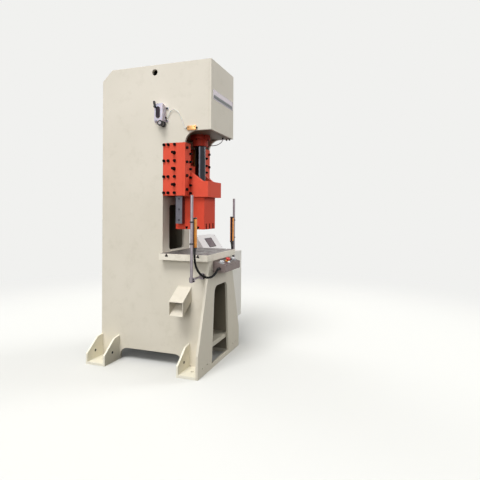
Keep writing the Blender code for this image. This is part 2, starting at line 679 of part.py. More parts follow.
def make_front_leg():
    top_z = TABLE_BOTTOM_Z - GAP
    right = [(FOOT_OUTER_HALF, 0.0), (FOOT_OUTER_HALF, LEG_TAPER_BOTTOM_Z),
             (LEG_TOP_HALF, LEG_TAPER_TOP_Z), (LEG_TOP_HALF, top_z)]
    outline = right + [(-x, z) for x, z in reversed(right)]
    lean = math.degrees(math.atan2(ARCH_BOTTOM_HALF - ARCH_TOP_HALF, ARCH_TOP_Z - ARCH_BOTTOM_Z))
    side = [(ARCH_BOTTOM_HALF, ARCH_BOTTOM_Z)]
    side += arc(ARCH_TOP_HALF - ARCH_RADIUS, ARCH_TOP_Z - ARCH_RADIUS, ARCH_RADIUS, lean, 90, 5)
    arch = side + [(-x, z) for x, z in reversed(side)]
    holes = [circle(sign * (FOOT_OUTER_HALF - inset), z, LEVEL_HOLE_RADIUS, 8)
             for inset, z in LEVEL_HOLES for sign in (1, -1)]
    slab("front_leg_plate", outline, "y", LEG_FRONT_Y, LEG_FRONT_Y + LEG_PLATE,
         PAINT_CREAM, [arch, *holes])
    front_y = LEG_REAR_Y
    inner = INNER_HALF - GAP
    profile = [(front_y, SHELF_TOP_Z - SHELF_LIP), (front_y + SHELF_SHEET, SHELF_TOP_Z - SHELF_LIP),
               (front_y + SHELF_SHEET, SHELF_TOP_Z - SHELF_SHEET),
               (front_y + SHELF_DEPTH, SHELF_TOP_Z - SHELF_SHEET),
               (front_y + SHELF_DEPTH, SHELF_TOP_Z), (front_y, SHELF_TOP_Z)]
    slab("leg_shelf", profile, "x", -inner, inner, PAINT_CREAM)


def make_foot(name, front_y, rear_y, front_gusset):
    """A right-hand foot: base plate with one or two gussets, welded beside the column."""
    inner = OUTER_HALF + GAP
    gusset = [(inner, 0.0), (FOOT_OUTER_HALF, 0.0), (FOOT_OUTER_HALF, GUSSET_EDGE_Z),
              (inner + GUSSET_KNEE_OUT, GUSSET_TOP_Z - GUSSET_KNEE_DROP), (inner, GUSSET_TOP_Z)]
    foot = slab(name, gusset, "y", front_y, rear_y, PAINT_CREAM)
    pocket_front = front_y + GUSSET if front_gusset else front_y - OVERRUN
    pocket = block("foot_pocket", (inner - OVERRUN, pocket_front, FOOT_BASE),
                   (FOOT_OUTER_HALF + OVERRUN, rear_y - GUSSET, GUSSET_TOP_Z + OVERRUN))
    middle_x = (inner + FOOT_OUTER_HALF) / 2
    bolt_y = (max(pocket_front, front_y) + rear_y - GUSSET) / 2
    anchor = turned("anchor_hole", rod_profile(ANCHOR_HOLE_RADIUS, -OVERRUN, FOOT_BASE + OVERRUN),
                    12, None, (middle_x, bolt_y, 0))
    sling = turned("sling_hole",
                   rod_profile(GUSSET_HOLE_RADIUS, front_y - OVERRUN, rear_y + OVERRUN), 8,
                   None, (middle_x, 0, GUSSET_HOLE_Z), (0, 1, 0))
    return cut(foot, pocket, anchor, sling)


def make_feet():
    front = make_foot("foot_front_right", LEG_REAR_Y, FRONT_FOOT_REAR_Y, False)
    rear = make_foot("foot_rear_right", REAR_FOOT_FRONT_Y, REAR_FOOT_REAR_Y, True)
    mirrored(front, "foot_front_left")
    mirrored(rear, "foot_rear_left")


def tee_outline(y, z, neck, head, neck_depth, head_depth, down):
    """A T-slot's section in (y, z), opening at z and running down, or up if down is -1."""
    mouth = z + OVERRUN * down
    step = z - neck_depth * down
    floor = step - head_depth * down
    return [(y - neck / 2, mouth), (y + neck / 2, mouth), (y + neck / 2, step),
            (y + head / 2, step), (y + head / 2, floor), (y - head / 2, floor),
            (y - head / 2, step), (y - neck / 2, step)]


def make_table():
    rear_y = THROAT_Y - GAP
    outline = [(-TABLE_HALF, TABLE_FRONT_Y), (TABLE_HALF, TABLE_FRONT_Y),
               (TABLE_HALF, rear_y), (-TABLE_HALF, rear_y)]
    table = slab("table", outline, "z", TABLE_BOTTOM_Z, TABLE_TOP_Z, PAINT_CREAM,
                 [circle(0, 0, DROP_HOLE_RADIUS, 24)])
    slots = []
    for y in TSLOT_Y:
        section = tee_outline(y, TABLE_TOP_Z, TSLOT_NECK, TSLOT_HEAD, TSLOT_NECK_DEPTH,
                              TSLOT_HEAD_DEPTH, 1)
        for sign in (1, -1):
            mesh = slab_mesh(section, "x", sign * TSLOT_END_X,
                             sign * (TABLE_HALF + OVERRUN))
            slots.append(add_object("table_slot", mesh))
    cut(table, *slots)


def chute_height(x):
    """Height of the underside of the chute at x."""
    return CHUTE_TOP_Z - CHUTE_MOUTH_HEIGHT - CHUTE_SLOPE * (CHUTE_INNER_X - x)


def make_chute():
    inner_z = chute_height(CHUTE_INNER_X)
    outer_z = chute_height(CHUTE_OUTER_X)
    wall = CHUTE_WALL
    outside = [(CHUTE_OUTER_X, outer_z), (CHUTE_INNER_X, inner_z), (CHUTE_INNER_X, CHUTE_TOP_Z),
               (CHUTE_OUTER_X, outer_z + CHUTE_MOUTH_HEIGHT)]
    duct = slab("parts_chute", outside, "y", CHUTE_Y - CHUTE_HALF, CHUTE_Y + CHUTE_HALF,
                PAINT_CREAM)
    steep = wall * math.sqrt(1 + CHUTE_SLOPE ** 2)
    end_x = CHUTE_INNER_X - wall
    catch_x = end_x - CHUTE_CATCH
    open_z = CHUTE_TOP_Z + OVERRUN
    start_x = CHUTE_OUTER_X - OVERRUN
    passage = [(start_x, chute_height(start_x) + steep), (end_x, chute_height(end_x) + steep),
               (end_x, open_z), (catch_x, open_z),
               (catch_x, chute_height(catch_x) + CHUTE_MOUTH_HEIGHT - steep),
               (start_x, chute_height(start_x) + CHUTE_MOUTH_HEIGHT - steep)]
    mesh = slab_mesh(passage, "y", CHUTE_Y - CHUTE_HALF + wall, CHUTE_Y + CHUTE_HALF - wall)
    cut(duct, add_object("chute_passage", mesh))


def guide_height(share):
    """A height on the guide blocks, as a share of their length."""
    return GUIDE_BOTTOM_Z + share * GUIDE_LENGTH


def bolt_head(place, outward):
    """A cap screw's head, its foot just inside the plate that it clamps."""
    return turned("bolt", rod_profile(BOLT_HEAD_RADIUS, -BOLT_SEAT, BOLT_HEAD_HEIGHT), 8, None,
                  place, outward)


def adjusting_screw(place, outward, depth, radius, reach):
    """A set screw in its tapped hole: the tip stands on the gib, a lock nut sits outside."""
    nut = radius * LOCK_NUT_RATIO
    nut_height = reach * LOCK_NUT_SHARE
    profile = [(0, -depth), (radius, -depth), (radius, -BOLT_SEAT), (nut, -BOLT_SEAT),
               (nut, nut_height), (radius, nut_height), (radius, reach), (0, reach)]
    return turned("adjusting_screw", profile, 6, None, place, outward)


def make_housing():
    """The L-shaped block beside the rail, with its clamping bolts and side screws."""
    outer = OUTER_HALF
    lip_y = RAIL_REAR_Y + GAP
    outline = [(HOUSING_WALL_X, HOUSING_FRONT_Y), (outer, HOUSING_FRONT_Y),
               (outer, GUIDE_REAR_Y), (GUIDE_INNER_X, GUIDE_REAR_Y),
               (GUIDE_INNER_X, lip_y), (HOUSING_WALL_X, lip_y)]
    housing = slab("guide_housing_right", outline, "z", GUIDE_BOTTOM_Z, GUIDE_TOP_Z, PAINT_RED)
    sideways = (1, 0, 0)
    fittings = [bolt_head((outer, GUIDE_REAR_Y - setback, guide_height(share)), sideways)
                for setback in HOUSING_BOLT_SETBACK for share in HOUSING_BOLT_SHARE]
    depth = outer - HOUSING_WALL_X + ADJUST_ROOM - GAP
    screw_y = RAIL_FRONT_Y + RAIL_WIDTH / 2
    fittings += [adjusting_screw((outer, screw_y, guide_height(share)), sideways, depth,
                                 SIDE_SCREW_RADIUS, SIDE_SCREW_OUT)
                 for share in SIDE_SCREW_SHARE]
    return weld(housing, *fittings)


def make_keeper():
    """The plate across the front of the block, with its bolts and the front screws."""
    outline = [(GUIDE_INNER_X, GUIDE_BOTTOM_Z), (OUTER_HALF, GUIDE_BOTTOM_Z),
               (OUTER_HALF, GUIDE_TOP_Z), (GUIDE_INNER_X, GUIDE_TOP_Z)]
    keeper = slab("guide_keeper_right", outline, "y", GUIDE_FRONT_Y,
                  GUIDE_FRONT_Y + KEEPER_THICKNESS, PAINT_RED)
    forwards = (0, -1, 0)
    fittings = [bolt_head((OUTER_HALF - KEEPER_BOLT_INSET, GUIDE_FRONT_Y, guide_height(share)),
                          forwards) for share in KEEPER_BOLT_SHARE]
    depth = KEEPER_THICKNESS + ADJUST_ROOM
    screw_x = (GUIDE_INNER_X + HOUSING_WALL_X) / 2
    fittings += [adjusting_screw((screw_x, GUIDE_FRONT_Y, guide_height(share)), forwards, depth,
                                 FRONT_SCREW_RADIUS, FRONT_SCREW_OUT)
                 for share in FRONT_SCREW_SHARE]
    return weld(keeper, *fittings)


def make_guides():
    """Each side: a housing, a front keeper and two bronze gibs that the screws push."""
    mirrored(make_housing(), "guide_housing_left")
    mirrored(make_keeper(), "guide_keeper_left")
    gib_back_x = HOUSING_WALL_X - ADJUST_ROOM
    side_gib = block("side_gib_right", (RAIL_OUTER_X + GAP, RAIL_FRONT_Y + GAP, GUIDE_BOTTOM_Z),
                     (gib_back_x, RAIL_REAR_Y - GAP, GUIDE_TOP_Z), BRONZE)
    mirrored(side_gib, "side_gib_left")
    gib_front_y = GUIDE_FRONT_Y + KEEPER_THICKNESS + ADJUST_ROOM + GAP
    front_gib = block("front_gib_right", (GUIDE_INNER_X, gib_front_y, GUIDE_BOTTOM_Z),
                      (HOUSING_WALL_X - GAP, RAIL_FRONT_Y - GAP, GUIDE_TOP_Z), BRONZE)
    mirrored(front_gib, "front_gib_left")


def make_ram():
    """The ram: a narrow column with T-slots below, a wide head with cheeks round the rod."""
    step_z = RAM_HEAD_BOTTOM_Z - GAP
    slots = [tee_outline(y, RAM_BOTTOM_Z, RAM_TSLOT_NECK, RAM_TSLOT_HEAD, RAM_TSLOT_NECK_DEPTH,
                         RAM_TSLOT_HEAD_DEPTH, -1) for y in RAM_TSLOT_Y]
    profile = [(RAM_FRONT_Y, RAM_BOTTOM_Z), (RAM_REAR_Y, RAM_BOTTOM_Z),
               (RAM_REAR_Y, RAM_COLUMN_TOP_Z), (RAM_COLUMN_Y, RAM_COLUMN_TOP_Z),
               (RAM_COLUMN_Y, step_z), (RAM_FRONT_Y, step_z)]
    body = slab("ram_body", profile, "x", -RAM_HALF, RAM_HALF, PAINT_RED)
    cutters = [add_object("ram_slot", slab_mesh(slot, "x", -RAM_HALF - OVERRUN,
                                                 RAM_HALF + OVERRUN))
               for slot in slots]
    for x in CLAMP_SLOT_X:
        cutters.append(block("clamp_slot",
                             (x - CLAMP_SLOT_WIDTH / 2, RAM_FRONT_Y - OVERRUN,
                              RAM_BOTTOM_Z - OVERRUN),
                             (x + CLAMP_SLOT_WIDTH / 2, RAM_FRONT_Y + CLAMP_SLOT_DEPTH,
                              RAM_BOTTOM_Z + CLAMP_SLOT_HEIGHT)))
    cut(body, *cutters)
    rear_y = RAM_COLUMN_Y - GAP
    rise = CHEEK_SLOPE * (rear_y - RAM_POCKET_FRONT_Y)
    cheek = [(RAM_HEAD_FRONT_Y, RAM_HEAD_BOTTOM_Z), (rear_y, RAM_HEAD_BOTTOM_Z),
             (rear_y, RAM_HEAD_TOP_Z + rise), (RAM_POCKET_FRONT_Y, RAM_HEAD_TOP_Z),
             (RAM_HEAD_FRONT_Y, RAM_HEAD_TOP_Z)]
    head = slab("ram_head", cheek, "x", -RAM_HEAD_HALF, RAM_HEAD_HALF, PAINT_RED)
    pocket = block("rod_pocket", (-RAM_POCKET_HALF, RAM_POCKET_FRONT_Y, RAM_POCKET_FLOOR_Z),
                   (RAM_POCKET_HALF, rear_y + OVERRUN, RAM_HEAD_TOP_Z + rise + OVERRUN))
    cut(head, pocket)
    rail = block("ram_rail_right", (RAM_HALF + GAP, RAIL_FRONT_Y, RAIL_BOTTOM_Z),
                 (RAIL_OUTER_X, RAIL_REAR_Y, RAIL_TOP_Z), STEEL)
    mirrored(rail, "ram_rail_left")


def make_cylinder():
    foot_z = RAM_POCKET_FLOOR_Z + GAP
    piston_top = PISTON_BOTTOM_Z + PISTON_HEIGHT
    nut_top = piston_top + PISTON_NUT
    rod = [(0, foot_z), (ROD_FOOT_RADIUS, foot_z), (ROD_FOOT_RADIUS, foot_z + ROD_FOOT_HEIGHT),
           (ROD_RADIUS, foot_z + ROD_FOOT_HEIGHT), (ROD_RADIUS, PISTON_BOTTOM_Z - GAP),
           (ROD_NOSE_RADIUS, PISTON_BOTTOM_Z - GAP), (ROD_NOSE_RADIUS, piston_top + GAP),
           (PISTON_NUT_RADIUS, piston_top + GAP), (PISTON_NUT_RADIUS, nut_top), (0, nut_top)]
    turned("piston_rod", rod, 24, CHROME)
    piston_radius = BORE_RADIUS - RUNNING_FIT
    groove = piston_radius - 0.005
    third = PISTON_HEIGHT / 3
    bore = ROD_NOSE_RADIUS + GAP
    piston = [(bore, PISTON_BOTTOM_Z), (piston_radius, PISTON_BOTTOM_Z),
              (piston_radius, PISTON_BOTTOM_Z + third), (groove, PISTON_BOTTOM_Z + third),
              (groove, PISTON_BOTTOM_Z + 2 * third), (piston_radius, PISTON_BOTTOM_Z + 2 * third),
              (piston_radius, piston_top), (bore, piston_top)]
    turned("piston", piston, 24, STEEL, ring=True)
    seat_top = HEAD_BOTTOM_Z + SEAT_THICKNESS + GAP
    barrel = [(0, BARREL_INNER_TOP_Z), (BORE_RADIUS, BARREL_INNER_TOP_Z),
              (BORE_RADIUS, HEAD_BOTTOM_Z), (BARREL_RADIUS, HEAD_BOTTOM_Z),
              (BARREL_RADIUS, seat_top), (BARREL_FLANGE_RADIUS, seat_top),
              (BARREL_FLANGE_RADIUS, seat_top + BARREL_FLANGE),
              (BARREL_RADIUS, seat_top + BARREL_FLANGE), (BARREL_RADIUS, BARREL_TOP_Z),
              (0, BARREL_TOP_Z)]
    turned("cylinder_barrel", barrel, 24, PAINT_TANK)
    top_z = HEAD_BOTTOM_Z - GAP
    inside = ROD_RADIUS + RUNNING_FIT
    spigot = BORE_RADIUS - GAP
    gland = [(inside, GLAND_BOTTOM_Z), (GLAND_RING_RADIUS, GLAND_BOTTOM_Z),
             (GLAND_RING_RADIUS, GLAND_FLANGE_BOTTOM_Z), (GLAND_FLANGE_RADIUS, GLAND_FLANGE_BOTTOM_Z),
             (GLAND_FLANGE_RADIUS, top_z), (spigot, top_z), (spigot, top_z + GLAND_SPIGOT),
             (inside, top_z + GLAND_SPIGOT)]
    ring = turned("cylinder_gland", gland, 24, PAINT_GLAND, ring=True)
    slots = []
    for i in range(GLAND_SLOTS):
        slot = block("spanner_slot",
                     (GLAND_RING_RADIUS + GLAND_SLOT_ROOT, -GLAND_SLOT_WIDTH / 2,
                      GLAND_FLANGE_BOTTOM_Z - OVERRUN),
                     (GLAND_FLANGE_RADIUS + OVERRUN, GLAND_SLOT_WIDTH / 2, top_z + OVERRUN))
        slot.data.transform(Matrix.Rotation(math.radians(360 * (i + 0.5) / GLAND_SLOTS), 4, "Z"))
        slots.append(slot)
    cut(ring, *slots)


def make_hydraulics():
    inner = INNER_HALF - GAP
    front_y = THROAT_Y + THROAT_PLATE + GAP
    rear_y = REAR_Y - REAR_PLATE - GAP
    tank = block("oil_tank", (-inner, front_y, TANK_BOTTOM_Z), (inner, rear_y, TANK_TOP_Z),
                 PAINT_TANK)
    wall = TANK_WALL
    inside = block("tank_inside", (-inner + wall, front_y + wall, TANK_BOTTOM_Z + wall),
                   (inner - wall, rear_y - wall, TANK_TOP_Z - wall))
    filler = turned("filler",
                    rod_profile(FILLER_RADIUS, TANK_TOP_Z - wall - OVERRUN, TANK_TOP_Z + OVERRUN),
                    12, None, (-INNER_HALF / 2, MANIFOLD_Y, 0))
    cut(tank, inside, filler)
    base = TANK_TOP_Z + GAP
    shaft_z = base + PUMP_HEIGHT
    unit = [(0, base), (PUMP_RADIUS, base), (PUMP_RADIUS, shaft_z),
            (MOTOR_RADIUS, shaft_z), (MOTOR_RADIUS, shaft_z + MOTOR_BODY_HEIGHT),
            (MOTOR_COWL_RADIUS, shaft_z + MOTOR_HEIGHT), (0, shaft_z + MOTOR_HEIGHT)]
    turned("motor_pump_unit", unit, 20, PAINT_MOTOR, (0, MOTOR_Y, 0))
    block("valve_block", (-MANIFOLD_WIDTH / 2, MANIFOLD_Y - MANIFOLD_DEPTH / 2, base),
          (MANIFOLD_WIDTH / 2, MANIFOLD_Y + MANIFOLD_DEPTH / 2, base + MANIFOLD_HEIGHT), STEEL)
    make_pipes(base + MANIFOLD_HEIGHT + GAP)


def smooth_path(points, steps):
    """A smooth curve through the given points, with its first and last stretches straight."""
    first, last_point = Vector(points[0]), Vector(points[-1])
    points = points[1:-1]
    path = [first]
    last = len(points) - 1
    for i in range(last):
        before = Vector(points[max(i - 1, 0)])
        here = Vector(points[i])
        after = Vector(points[i + 1])
        beyond = Vector(points[min(i + 2, last)])
        for k in range(steps):
            t = k / steps
            path.append(0.5 * (2 * here + (after - before) * t
                               + (2 * before - 5 * here + 4 * after - beyond) * t ** 2
                               + (3 * here - before - 3 * after + beyond) * t ** 3))
    return path + [Vector(points[-1]), last_point]


def tube(name, paths, radius, sides_setting, finish):
    """Round tubes along lists of points, as one curve object with filled caps."""
    curve = bpy.data.curves.new(name, "CURVE")
    curve.dimensions = "3D"
    curve.bevel_depth = radius
    curve.bevel_resolution = sides_setting
    curve.use_fill_caps = True
    for path in paths:
        spline = curve.splines.new("POLY")
        spline.points.add(len(path) - 1)
        for point, place in zip(spline.points, path):
            point.co = (*place, 1.0)
    curve.materials.append(finish_material(finish))
    obj = bpy.data.objects.new(name, curve)
    bpy.context.scene.collection.objects.link(obj)
    return obj


def make_pipes(start_z):
    """Two steel pipes from the valve block up to unions on the throat's back plate."""
    union_y = THROAT_Y + THROAT_PLATE + GAP
    run = union_y - MANIFOLD_Y
    rise = PIPE_PORT_Z - start_z
    for x, name in ((-PIPE_X, "raise_pipe"), (PIPE_X, "press_pipe")):
        bends = [(x, MANIFOLD_Y + along * run, start_z + up * rise) for along, up in PIPE_BENDS]
        route = [(x, MANIFOLD_Y, start_z), (x, MANIFOLD_Y, start_z + STRAIGHT), *bends,
                 (x, union_y + 2 * STRAIGHT, PIPE_PORT_Z), (x, union_y, PIPE_PORT_Z)]
        tube(name, [smooth_path(route, 4)], PIPE_RADIUS, 2, STEEL)


def make_guard(sign, side):
    turned("guard_post_" + side, rod_profile(POST_RADIUS, POST_BOTTOM_Z, POST_TOP_Z), 12,
           CHROME, (sign * POST_X, POST_Y, 0))
    reach = POST_X - OUTER_HALF
    profile = [(0, GAP), (ARM_FLANGE_RADIUS, GAP), (ARM_FLANGE_RADIUS, ARM_FLANGE),
               (ARM_BOSS_RADIUS, ARM_FLANGE), (ARM_BOSS_RADIUS, ARM_BOSS),
               (ARM_RADIUS, ARM_BOSS), (ARM_RADIUS, reach), (0, reach)]
    arm = turned("guard_arm_" + side, profile, 12, STEEL,
                 (sign * OUTER_HALF, POST_Y, ARM_Z), (sign, 0, 0))
    collar = turned("collar", rod_profile(COLLAR_RADIUS, -COLLAR_HEIGHT / 2, COLLAR_HEIGHT / 2), 12,
                    None, (sign * POST_X, POST_Y, ARM_Z))
    weld(arm, collar)
    bore = turned("collar_bore",
                  rod_profile(POST_RADIUS + GAP, -COLLAR_HEIGHT, COLLAR_HEIGHT), 12, None,
                  (sign * POST_X, POST_Y, ARM_Z))
    cut(arm, bore)


def make_light_curtain(sign, side):
    """An orange housing held to the post by two black clamps, all one bought-in unit."""
    half = CURTAIN_HALF
    outline = rounded_rectangle(sign * CURTAIN_X - half, POST_Y - half,
                                sign * CURTAIN_X + half, POST_Y + half, CURTAIN_ROUND, 1)
    curtain = slab("light_curtain_" + side, outline, "z", CURTAIN_BOTTOM_Z, CURTAIN_TOP_Z, ORANGE)
    gap_x = sorted((sign * (CURTAIN_X + half - BOLT_SEAT),
                    sign * (POST_X - POST_RADIUS - BOLT_SEAT)))
    pieces = []
    for share in CLAMP_SHARE:
        z = CURTAIN_BOTTOM_Z + share * CURTAIN_LENGTH
        low, high = z - CLAMP_HEIGHT / 2, z + CLAMP_HEIGHT / 2
        pieces.append(block("clamp_bar", (gap_x[0], POST_Y - CLAMP_BAR_HALF, low),
                            (gap_x[1], POST_Y + CLAMP_BAR_HALF, high)))
        pieces.append(turned("clamp_ring", rod_profile(COLLAR_RADIUS, low, high), 12, None,
                             (sign * POST_X, POST_Y, 0)))
    pieces.append(lead_gland((sign * CURTAIN_X, POST_Y, CURTAIN_BOTTOM_Z), (0, 0, -1)))
    weld(curtain, *pieces)
    bore = turned("clamp_bore", rod_profile(POST_RADIUS + GAP, CURTAIN_BOTTOM_Z, CURTAIN_TOP_Z),
                  12, None, (sign * POST_X, POST_Y, 0))
    cut(curtain, bore)


def lead_route(sign):
    """The curtain's lead: down from its gland, round in a free loop, up into the box."""
    x = CURTAIN_X
    start_z = CURTAIN_BOTTOM_Z - GLAND_LENGTH - GAP
    end_x = BOX_HALF + GLAND_LENGTH + GAP
    points = [(x, POST_Y, start_z), (x, POST_Y, start_z - STRAIGHT), (x, -0.150, 0.884),
              (x - 0.006, -0.167, 0.829), (x - 0.022, -0.192, 0.789), (x - 0.055, -0.226, 0.765),
              (0.308, -0.248, 0.766), (0.264, -0.257, 0.785), (0.234, -0.2595, 0.804),
              (end_x + STRAIGHT, BOX_GLAND_Y, BOX_GLAND_Z), (end_x, BOX_GLAND_Y, BOX_GLAND_Z)]
    return [(sign * px, py, pz) for px, py, pz in points]


def lead_gland(place, outward):
    """A screwed cable gland, its thread just inside the housing."""
    profile = [(0, -BOLT_SEAT), (GLAND_NUT_RADIUS, -BOLT_SEAT),
               (GLAND_NUT_RADIUS, GLAND_NUT_LENGTH), (CURTAIN_LEAD_RADIUS, GLAND_LENGTH),
               (0, GLAND_LENGTH)]
    return turned("gland", profile, 8, None, place, outward)


def make_guard_side():
    for sign, side in ((-1, "left"), (1, "right")):
        make_guard(sign, side)
        make_light_curtain(sign, side)
        tube("curtain_lead_" + side, [smooth_path(lead_route(sign), 4)], CURTAIN_LEAD_RADIUS, 2,
             BLACK)


def box_slope():
    """Unit vector up out of the control box's sloping top."""
    rise = BOX_REAR_TOP_Z - BOX_FRONT_TOP_Z
    run = BOX_REAR_Y - BOX_FRONT_Y
    return Vector((0, -rise, run)).normalized()


def box_point(x):
    """The point on the sloping top where a button stands."""
    rise = BOX_REAR_TOP_Z - BOX_FRONT_TOP_Z
    run = BOX_REAR_Y - BOX_FRONT_Y
    return Vector((x, BUTTON_Y, BOX_FRONT_TOP_Z + rise * (BUTTON_Y - BOX_FRONT_Y) / run))


def make_control_box():
    profile = [(BOX_FRONT_Y, BOX_BOTTOM_Z), (BOX_REAR_Y, BOX_BOTTOM_Z),
               (BOX_REAR_Y, BOX_REAR_TOP_Z), (BOX_FRONT_Y, BOX_FRONT_TOP_Z)]
    box = slab("control_box", profile, "x", -BOX_HALF, BOX_HALF, STAINLESS)
    weld(box, *[lead_gland((sign * BOX_HALF, BOX_GLAND_Y, BOX_GLAND_Z), (sign, 0, 0))
                for sign in (-1, 1)])
    up = box_slope()
    stems = ((-START_X, START_STEM), (START_X, START_STEM), (0, STOP_STEM),
             (SELECTOR_X, SELECTOR_STEM))
    cut(box, *[round_well(stem, STEM_DEPTH, 16, box_point(x), up) for x, stem in stems])
    top = START_ROOM + START_CAP
    for x, side in ((-START_X, "left"), (START_X, "right")):
        profile = [(0, -STEM_DEPTH), (START_STEM, -STEM_DEPTH), (START_STEM, START_ROOM),
                   (START_RADIUS, START_ROOM), (START_RADIUS, top - BUTTON_ROUND),
                   (START_RADIUS - BUTTON_ROUND, top), (0, top)]
        button = turned("start_button_" + side, profile, 16, SILVER_BUTTON, box_point(x), up)
        set_pivot(button, box_point(x))
    top = STOP_ROOM + STOP_CAP
    profile = [(0, -STEM_DEPTH), (STOP_STEM, -STEM_DEPTH), (STOP_STEM, STOP_ROOM),
               (STOP_RADIUS, STOP_ROOM + BUTTON_ROUND), (STOP_RADIUS, top - BUTTON_ROUND),
               (STOP_RADIUS - BUTTON_ROUND, top), (0, top)]
    stop = turned("emergency_stop", profile, 16, RED_BUTTON, box_point(0), up)
    set_pivot(stop, box_point(0))
    profile = [(0, -STEM_DEPTH), (SELECTOR_STEM, -STEM_DEPTH), (SELECTOR_STEM, 2 * GAP),
               (SELECTOR_RADIUS, 2 * GAP), (SELECTOR_RADIUS, SELECTOR_DISC), (0, SELECTOR_DISC)]
    selector = turned("mode_selector", profile, 16, BLACK, box_point(SELECTOR_X), up)
    blade = block("selector_blade", (-SELECTOR_BLADE / 2, -SELECTOR_RADIUS, SELECTOR_DISC / 2),
                  (SELECTOR_BLADE / 2, SELECTOR_RADIUS, 2 * SELECTOR_DISC))
    turn = Vector((0, 0, 1)).rotation_difference(up).to_matrix().to_4x4()
    blade.data.transform(Matrix.Translation(box_point(SELECTOR_X)) @ turn)
    weld(selector, blade)
    set_pivot(selector, box_point(SELECTOR_X))


def hinge_half(low, leaf_start, leaf_end):
    """Half of a lift-off hinge: a leaf on the rear face, and a knuckle round the pin line."""
    high = low + HINGE_LENGTH
    leaf = block("hinge_leaf", (leaf_start, CABINET_REAR_Y - BOLT_SEAT, low),
                 (leaf_end, CABINET_REAR_Y + HINGE_RADIUS, high))
    knuckle = turned("hinge_knuckle", rod_profile(HINGE_RADIUS, low, high), 12, None,
                     (HINGE_X, HINGE_Y, 0))
    return [leaf, knuckle]


def make_cabinet():
    """A sheet box open on its outer side, with a hinged door and a mounting plate inside."""
    inner_x = OUTER_HALF + GAP
    shell_x = CABINET_OUTER_X - DOOR_THICKNESS - GAP
    wall = CABINET_WALL
    hinge_z = (CABINET_BOTTOM_Z + HINGE_END, CABINET_TOP_Z - HINGE_END)
    body = block("cabinet_body", (inner_x, CABINET_FRONT_Y, CABINET_BOTTOM_Z),
                 (shell_x, CABINET_REAR_Y, CABINET_TOP_Z), PAINT_CREAM)
    room = block("cabinet_room", (inner_x + wall, CABINET_FRONT_Y + wall, CABINET_BOTTOM_Z + wall),
                 (shell_x + OVERRUN, CABINET_REAR_Y - wall, CABINET_TOP_Z - wall))
    cut(body, room)
    for z in hinge_z:
        weld(body, *hinge_half(z - HINGE_LENGTH, HINGE_X - HINGE_LEAF, HINGE_X - 2 * GAP))
    door = block("cabinet_door", (shell_x + GAP, CABINET_FRONT_Y, CABINET_BOTTOM_Z),
                 (CABINET_OUTER_X, CABINET_REAR_Y, CABINET_TOP_Z), PAINT_CREAM)
    for z in hinge_z:
        weld(door, *hinge_half(z + GAP, HINGE_X + 2 * GAP, CABINET_OUTER_X - DOOR_EDGE))
    latch_place = (CABINET_OUTER_X, CABINET_FRONT_Y + LATCH_INSET, LATCH_Z)
    cut(door, round_well(LATCH_STEM, LATCH_DEPTH, 12, latch_place, (1, 0, 0)))
    set_pivot(door, (HINGE_X, HINGE_Y, LATCH_Z))
    profile = [(0, -LATCH_DEPTH), (LATCH_STEM, -LATCH_DEPTH), (LATCH_STEM, GAP),
               (LATCH_RADIUS, GAP), (LATCH_RADIUS, LATCH_DISC), (0, LATCH_DISC)]
    latch = turned("door_latch", profile, 12, CHROME, latch_place, (1, 0, 0))
    x, y, z = latch_place
    wing = block("latch_wing", (x + LATCH_DISC / 2, y - LATCH_WING / 4, z - LATCH_WING),
                 (x + LATCH_OUT, y + LATCH_WING / 4, z + LATCH_WING))
    weld(latch, wing)
    set_pivot(latch, latch_place)
    make_switchgear(inner_x + wall + GAP)


def make_switchgear(x):
    """The mounting plate in the cabinet, with three rows of switchgear on rails."""
    low_y, high_y = CABINET_FRONT_Y + PANEL_MARGIN, CABINET_REAR_Y - PANEL_MARGIN
    low_z, high_z = CABINET_BOTTOM_Z + PANEL_MARGIN, CABINET_TOP_Z - PANEL_MARGIN
    plate = block("switchgear_plate", (x, low_y, low_z), (x + PANEL_SHEET, high_y, high_z), STEEL)
    rows = []
    row_z = low_z + PANEL_MARGIN
    for height, depth in PANEL_ROWS:
        rows.append(block("switchgear_row", (x + PANEL_SHEET / 2, low_y + PANEL_ROW_INSET, row_z),
                          (x + PANEL_SHEET + depth, high_y - PANEL_ROW_INSET, row_z + height)))
        row_z += height + PANEL_ROW_GAP
    weld(plate, *rows)


def console_slope(share):
    """The (y, z) point that lies a share of the way up the console's sloping face."""
    return Vector((CONSOLE_FRONT_Y + share * (CONSOLE_CREST_Y - CONSOLE_FRONT_Y),
                   CONSOLE_BASE_Z + CONSOLE_LIP + share * (CONSOLE_HEIGHT - CONSOLE_LIP)))


def make_console():
    """A sloping desk on the cabinet, with a touch screen let into its face."""
    base = CONSOLE_BASE_Z
    crest = base + CONSOLE_HEIGHT
    profile = [(CONSOLE_FRONT_Y, base), (CABINET_REAR_Y, base), (CABINET_REAR_Y, crest),
               (CONSOLE_CREST_Y, crest), (CONSOLE_FRONT_Y, base + CONSOLE_LIP)]
    console = slab("operator_console", profile, "x", CONSOLE_INNER_X, CABINET_OUTER_X, PAINT_WHITE)
    low, high = console_slope(SCREEN_START), console_slope(SCREEN_END)
    along = (high - low).normalized()
    into = Vector((along.y, -along.x))

    def band(near, far, spread):
        corners = (low - along * spread + into * near, high + along * spread + into * near,
                   high + along * spread + into * far, low - along * spread + into * far)
        return [tuple(corner) for corner in corners]

    recess = slab_mesh(band(-OVERRUN, SCREEN_DEPTH + GAP, GAP), "x", SCREEN_LEFT - GAP,
                       SCREEN_LEFT + SCREEN_WIDTH + GAP)
    cut(console, add_object("screen_recess", recess))
    slab("console_screen", band(-SCREEN_PROUD, SCREEN_DEPTH, 0), "x", SCREEN_LEFT,
         SCREEN_LEFT + SCREEN_WIDTH, BLACK)


